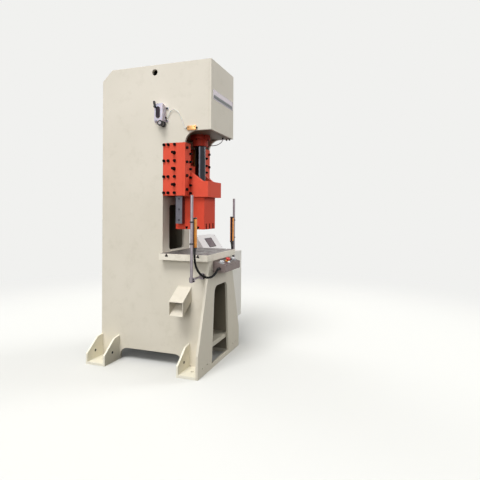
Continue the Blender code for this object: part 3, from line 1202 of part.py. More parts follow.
def make_lubrication():
    """A hand lubricator on the side plate, piped to a distributor over the throat."""
    plate_x = -OUTER_HALF - GAP
    front_y, rear_y = LUBE_Y, LUBE_Y + LUBE_WIDTH
    low_z, high_z = LUBE_Z, LUBE_Z + LUBE_HEIGHT
    body = block("lubricator_body", (plate_x - LUBE_DEPTH, front_y, low_z),
                 (plate_x, rear_y, high_z), LILAC)
    ear = block("lubricator_ear", (plate_x - LUBE_PLATE, front_y - LUBE_EAR, low_z - LUBE_EAR),
                (plate_x, rear_y + LUBE_EAR, high_z + LUBE_EAR))
    barrel_y = front_y + LUBE_BARREL_RADIUS - BOLT_SEAT
    barrel = turned("pump_barrel", rod_profile(LUBE_BARREL_RADIUS, 0, LUBE_DEPTH + LUBE_BARREL_OUT),
                    16, None, (plate_x, barrel_y, LUBE_BARREL_Z), (-1, 0, 0))
    outlet = turned("outlet", rod_profile(OIL_UNION_RADIUS, -BOLT_SEAT, OIL_UNION_LENGTH), 6, None,
                    (plate_x - OIL_LINE_OUT, front_y, OIL_OUTLET_Z), (0, -1, 0))
    weld(body, ear, barrel, outlet)
    face_x = plate_x - LUBE_DEPTH
    hub_place = (face_x, LEVER_Y, LEVER_Z)
    hub = turned("lubricator_lever", rod_profile(LEVER_WIDTH * 0.6, GAP, LEVER_WIDTH), 12,
                 BLACK, hub_place, (-1, 0, 0))
    arm = block("lever_arm", (face_x - LEVER_WIDTH + BOLT_SEAT / 2, LEVER_Y - LEVER_WIDTH / 2, LEVER_Z),
                (face_x - BOLT_SEAT, LEVER_Y + LEVER_WIDTH / 2, LEVER_Z + LEVER_LENGTH))
    weld(hub, arm)
    set_pivot(hub, hub_place)
    make_distributor(plate_x, front_y)


def make_distributor(plate_x, pump_y):
    front_y, rear_y = DISTRIBUTOR_Y, DISTRIBUTOR_Y + DISTRIBUTOR_LENGTH
    low_z, high_z = DISTRIBUTOR_Z, DISTRIBUTOR_Z + DISTRIBUTOR_HEIGHT
    middle_x = plate_x - OIL_LINE_OUT
    inlet_z = (low_z + high_z) / 2
    block_piece = block("oil_distributor", (plate_x - DISTRIBUTOR_DEPTH, front_y, low_z),
                        (plate_x, rear_y, high_z), BRASS)
    stub = rod_profile(OIL_UNION_RADIUS, -BOLT_SEAT, OIL_UNION_LENGTH)
    unions = [turned("union", stub, 6, None, (middle_x, rear_y, inlet_z), (0, 1, 0)),
              turned("union", stub, 6, None, (middle_x, front_y, inlet_z), (0, -1, 0))]
    for share in (0.25, 0.75):
        y = front_y + share * (rear_y - front_y)
        unions.append(turned("union", stub, 6, None, (middle_x, y, high_z), (0, 0, 1)))
    weld(block_piece, *unions)
    start = pump_y - OIL_UNION_LENGTH - GAP
    end = rear_y + OIL_UNION_LENGTH + GAP
    stub_y = OIL_LINE_RADIUS
    bends = [(end + share * (start - end), HEAD_BOTTOM_Z + up) for share, up in OIL_LINE_BENDS]
    route = [(start, OIL_OUTLET_Z), (start - stub_y, OIL_OUTLET_Z), *bends,
             (end + stub_y, inlet_z), (end, inlet_z)]
    tube("oil_line", [smooth_path([(middle_x, y, z) for y, z in route], 4)], OIL_LINE_RADIUS, 2,
         PAINT_WHITE)


def stand_on_origin():
    """Hang every piece on one empty that puts the middle of the footprint at the origin."""
    left = -(POST_X + COLLAR_RADIUS)
    right = CABINET_OUTER_X + LATCH_OUT
    front = BOX_FRONT_Y
    rear = REAR_Y + GAP + COVER_THICKNESS
    pieces = list(bpy.data.objects)
    root = bpy.data.objects.new("machine", None)
    bpy.context.scene.collection.objects.link(root)
    for piece in pieces:
        piece.parent = root
    root.location = (-(left + right) / 2, -(front + rear) / 2, 0)


def main():
    clear_scene()
    make_side_plates()
    make_head()
    make_throat_back()
    make_rear()
    make_front_leg()
    make_feet()
    make_table()
    make_chute()
    make_guides()
    make_ram()
    make_cylinder()
    make_hydraulics()
    make_guard_side()
    make_control_box()
    make_cabinet()
    make_console()
    make_lubrication()
    stand_on_origin()


main()
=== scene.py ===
# %% [markdown]
# # A C-frame hydraulic press
# A thirty-tonne press is one tall welded column with a deep throat cut out of its front.
# A cylinder in the head drives a red ram down between two guides onto a table,
# and a light curtain on each side of the table stops it when a hand comes near.
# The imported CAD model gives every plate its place, so this file only dresses it:
# it finishes each surface, rounds the edges and models the small pieces.

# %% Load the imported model
import math

import bmesh
import bpy
from mathutils import Matrix, Vector


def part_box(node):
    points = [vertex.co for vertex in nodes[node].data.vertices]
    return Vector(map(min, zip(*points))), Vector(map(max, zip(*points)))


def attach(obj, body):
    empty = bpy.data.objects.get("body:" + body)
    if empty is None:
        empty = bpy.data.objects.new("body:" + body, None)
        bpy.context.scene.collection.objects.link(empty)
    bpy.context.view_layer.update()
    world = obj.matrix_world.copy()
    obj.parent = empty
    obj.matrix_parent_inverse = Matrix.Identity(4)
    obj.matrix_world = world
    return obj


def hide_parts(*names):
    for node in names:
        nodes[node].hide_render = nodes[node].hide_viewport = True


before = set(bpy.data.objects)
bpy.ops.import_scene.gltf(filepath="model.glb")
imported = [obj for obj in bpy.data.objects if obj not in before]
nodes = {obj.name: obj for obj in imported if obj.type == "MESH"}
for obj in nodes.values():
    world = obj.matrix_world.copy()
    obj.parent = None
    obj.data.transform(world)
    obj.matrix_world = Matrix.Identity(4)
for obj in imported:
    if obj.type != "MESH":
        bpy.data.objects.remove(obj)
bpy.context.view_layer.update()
rod_low, rod_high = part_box("piston_rod")
AXIS = Vector(((rod_low.x + rod_high.x) / 2, (rod_low.y + rod_high.y) / 2, 0))
print(f"{len(nodes)} CAD nodes, cylinder axis at {AXIS.x:.4f}, {AXIS.y:.4f}")

# %% [markdown]
# ## Measuring from the cylinder
# A press is set out from the centre line of its cylinder, and its drawings give left and right
# from there. So every place in this file is written as x, y, z in metres from that line and the
# floor, and one helper turns it into the model's own frame. The sizes of small pieces are in
# millimetres, as on their drawings.

# %% Places and sides
MM = 0.001
SIDES = (("left", -1), ("right", 1))
UP, ORIGIN = Vector((0, 0, 1)), Vector((0, 0, 0))


def at(x, y, z):
    """A place measured from the cylinder's axis and the floor, in metres."""
    return Vector((AXIS.x + x, AXIS.y + y, z))


def mm(x, y, z):
    """A step in millimetres, as metres."""
    return Vector((x, y, z)) * MM


def low_high(node):
    """The corners of a CAD node, measured from the cylinder's axis."""
    low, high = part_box(node)
    return low - AXIS, high - AXIS


table_low, table_high = low_high("table")
head_low, head_high = low_high("head_front_plate")
print(f"table top {table_high.z:.3f} m, head from {head_low.z:.3f} to {head_high.z:.3f} m")

# %% [markdown]
# ## The camera
# It stands at eye height a little to the left of the machine, where the photograph was taken,
# and looks level. A level camera keeps the column's upright edges upright, and a small vertical
# shift frames the whole height, as a shift lens does. Tilting the camera up would frame it too,
# but would make the column narrow towards its top.

# %% Camera
CAMERA_PLACE = Vector((-3.49625, -1.81075, 1.28))
CAMERA_LENS = 31.613
CAMERA_SHIFT = -0.0573
HEADING, PITCH, ROLL = (math.radians(angle) for angle in (19.4296, -0.1786, 0.3428))
QUARTER_TURN = math.radians(90)


def show(name, data):
    """Put new data into the scene as an object."""
    made = bpy.data.objects.new(name, data)
    bpy.context.scene.collection.objects.link(made)
    return made


camera = show("camera", bpy.data.cameras.new("camera"))
camera.data.lens = CAMERA_LENS
camera.data.shift_y = CAMERA_SHIFT
camera.matrix_world = (Matrix.Translation(CAMERA_PLACE)
                       @ Matrix.Rotation(HEADING - QUARTER_TURN, 4, "Z")
                       @ Matrix.Rotation(QUARTER_TURN + PITCH, 4, "X")
                       @ Matrix.Rotation(ROLL, 4, "Z"))
bpy.context.scene.camera = camera
print(f"camera {(CAMERA_PLACE - AXIS).length:.2f} m from the cylinder's foot")

# %% [markdown]
# ## The curtain leads
# Each light curtain is fed by an 18 mm sheathed cable that leaves a gland under it, hangs in one
# free loop past the corner of the table and goes up into the side of the control box. It is held
# only at its two glands, so it sags between them. Its points were chosen for that hang,
# and a smooth curve runs through them. The first and last stretches are straight, as a cable
# leaves its gland. A curve's box grows by the radius of its points, so the points carry the
# cable's radius and the bevel only multiplies it by one.

# %% Curtain leads
LEAD_RADIUS = 9 * MM
LEAD_STEPS = 4
LEAD_POINTS = ((0.410, -0.145, 0.9667), (0.410, -0.145, 0.9547), (0.410, -0.150, 0.884),
               (0.404, -0.167, 0.829), (0.388, -0.192, 0.789), (0.355, -0.226, 0.765),
               (0.308, -0.248, 0.766), (0.264, -0.257, 0.785), (0.234, -0.2595, 0.804),
               (0.2113, -0.260, 0.814), (0.1993, -0.260, 0.814))


def smooth_path(points, steps):
    """A smooth curve through the points, with its first and last stretches straight."""
    first, final = points[0], points[-1]
    points = points[1:-1]
    path = [first]
    last = len(points) - 1
    for i in range(last):
        before, here = points[max(i - 1, 0)], points[i]
        after, beyond = points[i + 1], points[min(i + 2, last)]
        for k in range(steps):
            t = k / steps
            path.append(0.5 * (2 * here + (after - before) * t
                               + (2 * before - 5 * here + 4 * after - beyond) * t ** 2
                               + (3 * here - before - 3 * after + beyond) * t ** 3))
    return path + [points[-1], final]


def round_line(name, path, radius, sides=6):
    """A round bar, tube or cable along points, its radius in metres, with closed ends."""
    curve = bpy.data.curves.new(name, "CURVE")
    curve.dimensions = "3D"
    curve.bevel_depth = 1.0
    curve.bevel_resolution = sides
    curve.use_fill_caps = True
    spline = curve.splines.new("POLY")
    spline.points.add(len(path) - 1)
    for point, place in zip(spline.points, path):
        point.co = (*place, 1)
        point.radius = radius
    return show(name, curve)


leads = []
for side, sign in SIDES:
    path = smooth_path([at(sign * x, y, z) for x, y, z in LEAD_POINTS], LEAD_STEPS)
    length = sum((b - a).length for a, b in zip(path, path[1:]))
    lead = round_line("lead_" + side, path, LEAD_RADIUS)
    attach(lead, "machine_frame")
    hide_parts("curtain_lead_" + side)
    tuple(path[0])
    leads.append(lead)
    print(f"{lead.name}: {length / MM:.0f} mm in {len(path)} points")

# %% [markdown]
# ## The studio
# A pale floor takes the machine's shadow and fades into the same white as the background, so no
# horizon line cuts the column. The fade is worked out from the distance to the machine on the
# floor itself, which stays put from every view. The background is bright only for what the
# camera and polished metal see, so it lights nothing by itself. In a works hall the floor is
# dark, and hardly any light comes up under the head and the table. So the floor throws back
# little light here too, although the camera sees it pale.

# %% Colour and node helpers
def linear(text):
    """The linear colour of an sRGB hex value such as D9D4C4."""
    channels = [int(text[i:i + 2], 16) / 255 for i in (0, 2, 4)]
    values = [c / 12.92 if c <= 0.04045 else ((c + 0.055) / 1.055) ** 2.4 for c in channels]
    return (*values, 1.0)


def wire(node, **sockets):
    """Set a node's sockets, by name or number, to values or to other nodes' outputs."""
    for name, value in sockets.items():
        socket = node.inputs[int(name[1:]) if name[1:].isdigit() else name.replace("_", " ")]
        if isinstance(value, bpy.types.NodeSocket):
            node.id_data.links.new(value, socket)
        else:
            socket.default_value = value


def add(tree, kind, settings=None, stops=None, out=0, **sockets):
    """Add a node and give one output. Its settings are a dict, or a word for its operation."""
    made = tree.nodes.new("ShaderNode" + kind)
    if isinstance(settings, str):
        settings = {"operation": settings}
    for name, value in (settings or {}).items():
        setattr(made, name, value)
    for i, (position, colour) in enumerate(stops or ()):
        stop = made.color_ramp.elements[i] if i < 2 else made.color_ramp.elements.new(position)
        stop.position = position
        stop.color = colour
    wire(made, **sockets)
    return made.outputs[out] if made.outputs else made


def seen_rays(tree):
    """One for what the camera sees, straight or in polished metal or glass."""
    rays = add(tree, "LightPath").node.outputs
    seen = add(tree, "Math", "MAXIMUM", _0=rays["Is Camera Ray"],
               _1=rays["Is Glossy Ray"])
    return add(tree, "Math", "MAXIMUM", _0=seen, _1=rays["Is Transmission Ray"])


# %% Floor and background
BACKGROUND = linear("F1F1EF")
FLOOR_COLOUR = linear("DADAD7")
FLOOR_BOUNCE = linear("3A3C37")
SKY_COLOUR = linear("ECECEA")
SKY_LEVEL, SKY_TOP = 0.34, 0.80
FADE_START, FADE_END = 2.2, 5.5
FLOOR_SIZE = 60

bpy.ops.mesh.primitive_plane_add(size=FLOOR_SIZE, location=AXIS)
floor = bpy.context.object
floor.name = "studio_floor"
floor_material = bpy.data.materials.new("studio_floor")
floor_material.use_nodes = True
tree = floor_material.node_tree
tree.nodes.clear()
place = add(tree, "TexCoord", out="Object")
distance = add(tree, "VectorMath", "LENGTH", out="Value", _0=place)
fade = add(tree, "MapRange", {"interpolation_type": "SMOOTHERSTEP"}, Value=distance,
           From_Min=FADE_START, From_Max=FADE_END)
seen = seen_rays(tree)
tone = add(tree, "Mix", {"data_type": "RGBA"}, out=2, _0=seen, _6=FLOOR_BOUNCE,
           _7=FLOOR_COLOUR)
fade = add(tree, "Math", "MULTIPLY", _0=fade, _1=seen)
mixed = add(tree, "MixShader", Fac=fade, _1=add(tree, "BsdfDiffuse", Color=tone),
            _2=add(tree, "Emission", Color=BACKGROUND))
add(tree, "OutputMaterial", Surface=mixed)
floor.data.materials.append(floor_material)

world = bpy.data.worlds.new("studio")
world.use_nodes = True
bpy.context.scene.world = world
tree = world.node_tree
tree.nodes.clear()
upward = add(tree, "SeparateXYZ", out="Z", Vector=add(tree, "TexCoord", out="Generated"))
sky = add(tree, "MapRange", Value=upward, From_Min=0.0, From_Max=1.0, To_Min=SKY_LEVEL,
          To_Max=SKY_TOP)
ambient = add(tree, "Background", Color=SKY_COLOUR, Strength=sky)
shown = add(tree, "Background", Color=BACKGROUND, Strength=1.0)
mixed = add(tree, "MixShader", Fac=seen_rays(tree), _1=ambient, _2=shown)
add(tree, "OutputWorld", Surface=mixed)
print("floor and sky")

# %% Lamps
bpy.context.scene.view_settings.view_transform = "Standard"
LAMPS = (("roof_light", (-0.52, 0.08, 0.85), 2.15, 28),
         ("window_light", (-0.97, -0.05, 0.20), 1.30, 40),
         ("right_fill", (0.55, -0.75, 0.37), 1.20, 28),
         ("rear_fill", (0.35, 0.85, 0.40), 0.60, 28))

for name, towards, strength, spread in LAMPS:
    lamp = show(name, bpy.data.lights.new(name, "SUN"))
    lamp.data.angle = math.radians(spread)
    lamp.data.energy = strength
    lamp.rotation_euler = Vector(towards).to_track_quat("Z", "Y").to_euler()
print(f"{len(LAMPS)} lamps")

# %% [markdown]
# ## The finishes
# The machine is sprayed with enamel over filled steel, and only what slides or is clamped on is
# left bare. Every finish starts from one helper that makes a shader with its object coordinates.
# Patterns are sized in millimetres, and a Noise Texture's scale is one over that size in metres.

# %% Material helper
def start(name, **sockets):
    """A new material: itself, its tree, its shader and the object coordinates."""
    made = bpy.data.materials.new(name)
    made.use_nodes = True
    shader = made.node_tree.nodes["Principled BSDF"]
    wire(shader, **sockets)
    return made, made.node_tree, shader, add(made.node_tree, "TexCoord", out="Object")


def mottled(tree, place, size, detail, stretch=(1, 1, 1), roughness=0.55):
    """A cloudy pattern whose spots are about size mm across, stretched along an axis."""
    drawn = add(tree, "Mapping", Vector=place, Scale=stretch)
    return add(tree, "TexNoise", Vector=drawn, Scale=1 / (size * MM), Detail=detail,
               Roughness=roughness)


def surface(tree, shader, colour, rough, height, relief, depth):
    """Wire up a shader: its colour, its roughness and a bump of a depth in mm."""
    skin = add(tree, "Bump", Height=height, Strength=relief, Distance=depth * MM)
    wire(shader, Base_Color=colour, Roughness=rough, Normal=skin)


# %% [markdown]
# ### Sprayed enamel
# Two-pack enamel is sprayed over filler. It levels into a satin skin with a slight orange peel
# of 3 to 5 mm, its colour drifts a little where the coats overlap, and hands, oil and dust leave
# faint smudges, most of all near the floor. The colour is also painted darker from the head down
# towards the floor, as painted shade. All this shows as slow changes of colour and of roughness,
# and as a very small bump. Inside the column and under the head no one sprays the enamel: the
# plates take a dark primer colour there, which also paints the shade inside. The slots that are
# milled into the ram after spraying are bare; they and the ram's underside take a near-black
# colour, as painted shade. Each such place is a box in the model's own coordinates, and whatever
# surface lies within it takes the other colour.

# %% Enamels
PEEL, SMUDGE, DRIFT = 4, 90, 600
PEEL_DEPTH, RUBBED = 0.4, 0.2
SMUDGE_FROM, SMUDGE_FULL = 0.52, 0.78
DRIFT_FROM, DRIFT_FULL = 0.3, 0.7
# Besides the floor dust, painted shade darkens the enamel from 2.2 m down to 0.25 m.
DUST_TOP, SHADE_TOP = 0.25, 2.20
DUST, LOW_SHADE, SMEAR, CLOUD = 0.12, 0.32, 0.18, 0.14
# Inside the column and under the head the surfaces take a dark primer colour that is also painted
# shade.
COLUMN_SHADE_ROOMS = (((-0.2285, 0.2420, 0.10), (0.2285, 0.801, 2.395)),
                ((-0.2285, 0.2420, 2.39), (0.2285, 0.700, 2.483)),
                ((-0.2285, -0.1812, 0.03), (0.2285, 0.2430, 0.8790)),
                ((-0.2285, -0.1900, 1.928), (0.2285, 0.2230, 1.940)))
ram_low, ram_high = low_high("ram_body")
SKIN = mm(2, 2, 2)
# The ram's slots and underside take a near-black colour, as painted shade in those recesses.
RAM_SLOT_SHADE = ((ram_low + SKIN * Vector((1, 1, -5)), (*(ram_high - SKIN).xy, ram_low.z + 0.06)),)


def within(tree, place, boxes):
    """A mask that is one on the surfaces inside any of these boxes."""
    masks = []
    for low, high in boxes:
        middle, half = (at(*low) + at(*high)) / 2, (at(*high) - at(*low)) / 2
        offset = add(tree, "VectorMath", "SUBTRACT", _0=place, _1=middle)
        offset = add(tree, "VectorMath", "ABSOLUTE", _0=offset)
        room = add(tree, "VectorMath", "SUBTRACT", _0=half, _1=offset)
        axes = add(tree, "SeparateXYZ", Vector=room).node.outputs
        least = add(tree, "Math", "MINIMUM", _0=axes["X"], _1=axes["Y"])
        least = add(tree, "Math", "MINIMUM", _0=least, _1=axes["Z"])
        masks.append(add(tree, "Math", "GREATER_THAN", _0=least, _1=0.0))
    while len(masks) > 1:
        masks.append(add(tree, "Math", "MAXIMUM", _0=masks.pop(),
                         _1=masks.pop()))
    return masks[0]


def enamel(name, body, shade, roughness=0.42, peel=0.05, bare=None, sheen=0.07):
    """Sprayed enamel: body its clean colour, shade its colour under dirt and painted shade, bare
    the dark colour and boxes of painted shade.
    """
    made, tree, shader, place = start(name, IOR=1.5, Specular_IOR_Level=sheen)
    drift = mottled(tree, place, DRIFT, 2)
    smudge = mottled(tree, place, SMUDGE, 6, roughness=0.7)
    dirt_and_shade = add(tree, "MapRange", Value=smudge, From_Min=SMUDGE_FROM, From_Max=SMUDGE_FULL)
    height = add(tree, "SeparateXYZ", out="Z", Vector=place)
    dust_and_shade = add(tree, "MapRange", Value=height, From_Min=DUST_TOP, From_Max=0.0, To_Max=DUST)
    # Painted shade: the colour grows darker from 2.2 m down towards the floor.
    painted_shade = add(tree, "MapRange", Value=height, From_Min=SHADE_TOP, From_Max=DUST_TOP,
               To_Max=LOW_SHADE)
    dust_and_shade = add(tree, "Math", "ADD", _0=dust_and_shade, _1=painted_shade)
    dirt_and_shade = add(tree, "Math", "MULTIPLY_ADD", _0=dirt_and_shade, _1=SMEAR, _2=dust_and_shade)
    slow = add(tree, "MapRange", Value=drift, From_Min=DRIFT_FROM, From_Max=DRIFT_FULL,
               To_Max=CLOUD)
    worn_and_shaded = add(tree, "Math", {"operation": "ADD", "use_clamp": True}, _0=dirt_and_shade, _1=slow)
    colour = add(tree, "ValToRGB", stops=((0, linear(body)), (1, linear(shade))), Fac=worn_and_shaded)
    # The surfaces inside the bare boxes take their dark colour, which paints the shade there.
    if bare:
        colour = add(tree, "Mix", {"data_type": "RGBA"}, out=2, _7=linear(bare[0]),
                     _0=within(tree, place, bare[1]), _6=colour)
    rough = add(tree, "MapRange", Value=worn_and_shaded, To_Min=roughness, To_Max=roughness + RUBBED)
    surface(tree, shader, colour, rough, mottled(tree, place, PEEL, 2), peel, PEEL_DEPTH)
    return made


cream = enamel("cream_enamel", "E6DFD2", "B5AE99", bare=("8E8676", COLUMN_SHADE_ROOMS))
# The shelf's enamel is a darker copy of the cream: painted shade.
shaded_shelf_cream = enamel("shelf_enamel", "D3CDBD", "A39C8B")
# The feet's enamel is a lighter copy of the cream: painted light.
lit_foot_cream = enamel("foot_enamel", "F3EEDE", "DAD5C3")
# The cabinet's enamel is a lighter copy of the cream: painted light.
lit_cabinet_cream = enamel("cabinet_enamel", "FAF7F0", "D6D2C8")
red = enamel("red_orange_enamel", "EB5E48", "B8402E", roughness=0.38, sheen=0.04)
ram_red = enamel("ram_enamel", "E6553F", "B03C2C", roughness=0.38, sheen=0.04,
                 bare=("1E1A19", RAM_SLOT_SHADE))
dark_red = enamel("dark_red_enamel", "BC4030", "7A2A20", roughness=0.42)
white = enamel("white_powder_coat", "FDFBFC", "ECE9E8", roughness=0.45, peel=0.10)
grey = enamel("grey_enamel", "8B8E90", "62645F", roughness=0.40)
motor_blue = enamel("blue_grey_enamel", "5C6975", "3F474D", roughness=0.40)
print("ten enamels")

# %% [markdown]
# ### Bare steel
# The table and the guide rails are ground, the rod is hard chromed and polished, and the box of
# the buttons is brushed stainless sheet. A metal keeps the default IOR, and what sets these
# apart is how rough they are and which way their fine lines run. Grinding lines are far finer
# than a pixel, so they are drawn about 1.5 mm apart, just coarse enough to show.

# %% Metals
GRIND, STAIN = 1.5, 45
LINE_DEPTH, LINE_SHARE = 0.2, 0.35
STAIN_FROM, STAIN_FULL = 0.35, 0.75


def bare_metal(name, clean, stained, roughness, lines=(1, 1, 1), relief=0.08, spread=0.16,
               anisotropy=0.0, oil=0.5):
    """Bare metal with fine lines, stretched by lines, and faint stains of oil."""
    made, tree, shader, place = start(name, Metallic=1.0, Anisotropic=anisotropy)
    fine = mottled(tree, place, GRIND, 3, lines)
    stain = mottled(tree, place, STAIN, 5, roughness=0.65)
    stain = add(tree, "MapRange", Value=stain, From_Min=STAIN_FROM, From_Max=STAIN_FULL,
                To_Max=oil)
    streak = add(tree, "Math", "MULTIPLY_ADD", _0=fine, _1=LINE_SHARE, _2=stain)
    colour = add(tree, "ValToRGB", stops=((0.1, linear(clean)), (1, linear(stained))),
                 Fac=streak)
    rough = add(tree, "MapRange", Value=streak, To_Min=roughness, To_Max=roughness + spread)
    surface(tree, shader, colour, rough, fine, relief, LINE_DEPTH)
    return made


ground_steel = bare_metal("ground_steel", "727078", "2F2D31", 0.32, (1, 1, 0.02), oil=0.25)
# The chrome's colour is far darker than real chrome, a painted reflection of dark surroundings, so
# that the rod reads dark with a lamp's highlight.
chrome = bare_metal("hard_chrome", "3E3E43", "313136", 0.09, (1, 1, 0.01), 0.004, 0.03)
satin_steel = bare_metal("satin_steel_bar", "989095", "787075", 0.28, (1, 1, 0.02), 0.02)
stainless = bare_metal("brushed_stainless", "7A6E6C", "60564F", 0.46, (0.04, 1, 1), 0.05, 0.08,
                       0.3, 0.3)
bronze = bare_metal("guide_bronze", "B58F55", "7C5F38", 0.34, (1, 1, 0.1))
brass = bare_metal("turned_brass", "E6B27A", "C48A54", 0.34, relief=0.04)
black_screw = bare_metal("blackened_screw_steel", "1B1A1A", "0D0C0C", 0.52, relief=0.05)
zinc = bare_metal("zinc_plated_steel", "BDC0C2", "8C8E8E", 0.30, relief=0.05)
anodised = bare_metal("anodised_plate", "A8A2A6", "8A8488", 0.55, (0.04, 1, 1), 0.03, 0.08,
                      oil=0.2)
print("nine metals")

# %% [markdown]
# ### The table's two finishes
# The table is one plate whose top and T-slots are milled bare and whose sides are sprayed. One
# material carries both: a mask that is one on the top face and inside the slots sets the colour
# and the metallic part together.

# %% Table finish
MILL_PASS = 60
table_finish, tree, shader, place = start("milled_table_top")
fine = mottled(tree, place, GRIND, 3, (0.05, 1, 1))
passes = add(tree, "TexWave", {"bands_direction": "Y"}, out="Fac", Vector=place,
             Scale=0.5 / (MILL_PASS * MM), Distortion=0.6, Detail=2.0)
stain = mottled(tree, place, STAIN, 5, roughness=0.65)
stain = add(tree, "MapRange", Value=stain, From_Min=0.38, From_Max=0.70)
mixed = add(tree, "Math", "MULTIPLY_ADD", _0=passes, _1=0.15, _2=stain)
mixed = add(tree, "Math", "MULTIPLY_ADD", _0=fine, _1=0.3, _2=mixed)
steel = add(tree, "ValToRGB", stops=((0.05, linear("A49D9B")), (1, linear("787170"))), Fac=mixed)
cloud = mottled(tree, place, SMUDGE, 6, roughness=0.7)
sprayed = add(tree, "ValToRGB", stops=((0.5, linear("E6DFD0")), (0.85, linear("C2BBA8"))),
              Fac=cloud)
bare = within(tree, place, ((table_low + SKIN, table_high + SKIN * Vector((-1, -1, 1))),))
colour = add(tree, "Mix", {"data_type": "RGBA"}, out=2, _0=bare, _6=sprayed, _7=steel)
wire(shader, Metallic=add(tree, "Math", "MULTIPLY", _0=bare, _1=0.9))
rough = add(tree, "MapRange", Value=mixed, To_Min=0.36, To_Max=0.58)
surface(tree, shader, colour, rough, fine, 0.08, LINE_DEPTH)
print("table finish")

# %% [markdown]
# ### Plastics and lacquer
# Knobs, caps and the reservoir are injection moulded, so they have an even colour and a fine
# spark-eroded grain. The curtains are lacquered aluminium. Light gets a little way into the pale
# plastics, which softens their edges. The grain is about 0.6 mm and is drawn at that size.

# %% Plastics
GRAIN, HANDLED = 0.6, 30
GRAIN_DEPTH, RUBBED_DULL = 0.1, 0.15
HANDLED_FROM, HANDLED_FULL = 0.42, 0.75


def moulded(name, body, handled, roughness=0.42, glow=0.0, relief=0.12, sheen=0.5):
    """Moulded plastic: body is its own colour, handled where it is rubbed or dusty."""
    made, tree, shader, place = start(name, IOR=1.48, Specular_IOR_Level=sheen,
                                      Subsurface_Weight=glow, Subsurface_Scale=3 * MM)
    wear = mottled(tree, place, HANDLED, 4, roughness=0.6)
    wear = add(tree, "MapRange", Value=wear, From_Min=HANDLED_FROM, From_Max=HANDLED_FULL)
    colour = add(tree, "ValToRGB", stops=((0, linear(body)), (1, linear(handled))), Fac=wear)
    rough = add(tree, "MapRange", Value=wear, To_Min=roughness, To_Max=roughness + RUBBED_DULL)
    surface(tree, shader, colour, rough, mottled(tree, place, GRAIN, 1), relief, GRAIN_DEPTH)
    return made


black_plastic = moulded("black_nylon", "161617", "2A2928")
cable_rubber = moulded("cable_sheath", "0A0A0B", "161514", 0.6, sheen=0.15)
red_plastic = moulded("red_abs", "C4261C", "9E2118", 0.30, 0.05)
silver_plastic = moulded("silver_cap", "C6C7C9", "9FA0A2", 0.26)
orange_lacquer = moulded("orange_lacquer", "F7A03C", "DC8229", 0.40, relief=0.05)
reservoir_plastic = moulded("pale_polypropylene", "DAD3E0", "B8B2C4", 0.34, 0.15)
white_nylon = moulded("white_nylon", "ECEBE7", "CFCDC6", 0.34, 0.15)
lens_plastic = moulded("smoked_lens", "2E2430", "3D303C", 0.30, relief=0.02, sheen=0.2)
screen_glass = moulded("screen_glass", "6A565C", "57464C", 0.45, relief=0.01)
amber_plastic = moulded("amber_cap", "D9A520", "A87D1B", 0.30, 0.05)
for lead in leads:
    lead.data.materials.append(cable_rubber)
print("ten plastics")

# %% [markdown]
# ## The plates of the column
# The welded plates, the table and the guides come from the CAD model as they are. Flame-cut and
# milled plates have their edges broken by about a millimetre and a half, and that thin line of
# light is what makes them read as steel plate. A Bevel modifier adds it. The CAD meshes are loose
# triangles, so a Weld modifier joins them first, and the bevel is limited by angle so that it
# leaves the round parts alone.

# %% Finish the CAD pieces
FINISHES = {
    "cream_enamel": cream, "red_orange_enamel": red, "dark_red_enamel": dark_red,
    "white_powder_coat": white, "grey_enamel": grey, "blue_grey_enamel": motor_blue,
    "ground_steel": ground_steel, "hard_chrome": chrome, "brushed_stainless": stainless,
    "guide_bronze": bronze, "brass": brass, "orange_lacquer": orange_lacquer,
    "black_plastic": black_plastic, "black_cable": cable_rubber, "red_plastic": red_plastic,
    "silver_plastic": silver_plastic, "lilac_plastic": reservoir_plastic,
    "white_nylon": white_nylon}
FEET = [f"foot_{end}_{side}" for end in ("front", "rear") for side, sign in SIDES]
OWN_FINISHES = {"table": table_finish, "ram_body": ram_red, "leg_shelf": shaded_shelf_cream,
                "cabinet_body": lit_cabinet_cream, "cabinet_door": lit_cabinet_cream,
                **dict.fromkeys(FEET, lit_foot_cream)}
PLATES = ("side_plate_left", "side_plate_right", "head_front_plate", "top_plate", "rear_plate",
          "rear_cover", "front_leg_plate", "leg_shelf", *FEET, "table", "parts_chute",
          "throat_back_plate", "guide_housing_left", "guide_housing_right",
          "guide_keeper_left", "guide_keeper_right", "ram_body", "ram_head", "cabinet_body",
          "cabinet_door", "operator_console", "cylinder_seat_plate", "lubricator_body",
          "oil_distributor", "control_box", "valve_block")
EDGE_BREAK = 1.5 * MM
WELD_REACH = 0.01 * MM
BEVEL_FROM = math.radians(40)

for name, node in nodes.items():
    for slot in node.material_slots:
        slot.material = OWN_FINISHES.get(name, FINISHES[slot.material.name])
for name in PLATES:
    plate = nodes[name]
    plate.modifiers.new("join", "WELD").merge_threshold = WELD_REACH
    bevel = plate.modifiers.new("broken_edges", "BEVEL")
    bevel.width = EDGE_BREAK
    bevel.segments = 2
    bevel.limit_method = "ANGLE"
    bevel.angle_limit = BEVEL_FROM
    bevel.use_clamp_overlap = False
    plate.modifiers.new("even_shading", "WEIGHTED_NORMAL").keep_sharp = True
print(f"{len(nodes)} nodes painted, {len(PLATES)} with broken edges")

# %% [markdown]
# ## Modelling by operators
# The small pieces are modelled as by hand: a primitive is added at its place, shaped in edit
# mode, and finished. Three helpers do most of it. A block is a cube with its edges rounded. A
# turned piece starts as a filled circle, which is extruded and scaled step by step along a
# profile, as a lathe tool would follow it. And what repeats, such as a screw, is modelled once
# and copied to all its places. An operator works on whatever is selected, so each helper starts
# by deselecting everything.

# %% Selecting and settling
def deselect():
    bpy.ops.object.select_all(action="DESELECT")


def pick(piece):
    """Make this the one selected and active object."""
    deselect()
    piece.select_set(True)
    bpy.context.view_layer.objects.active = piece


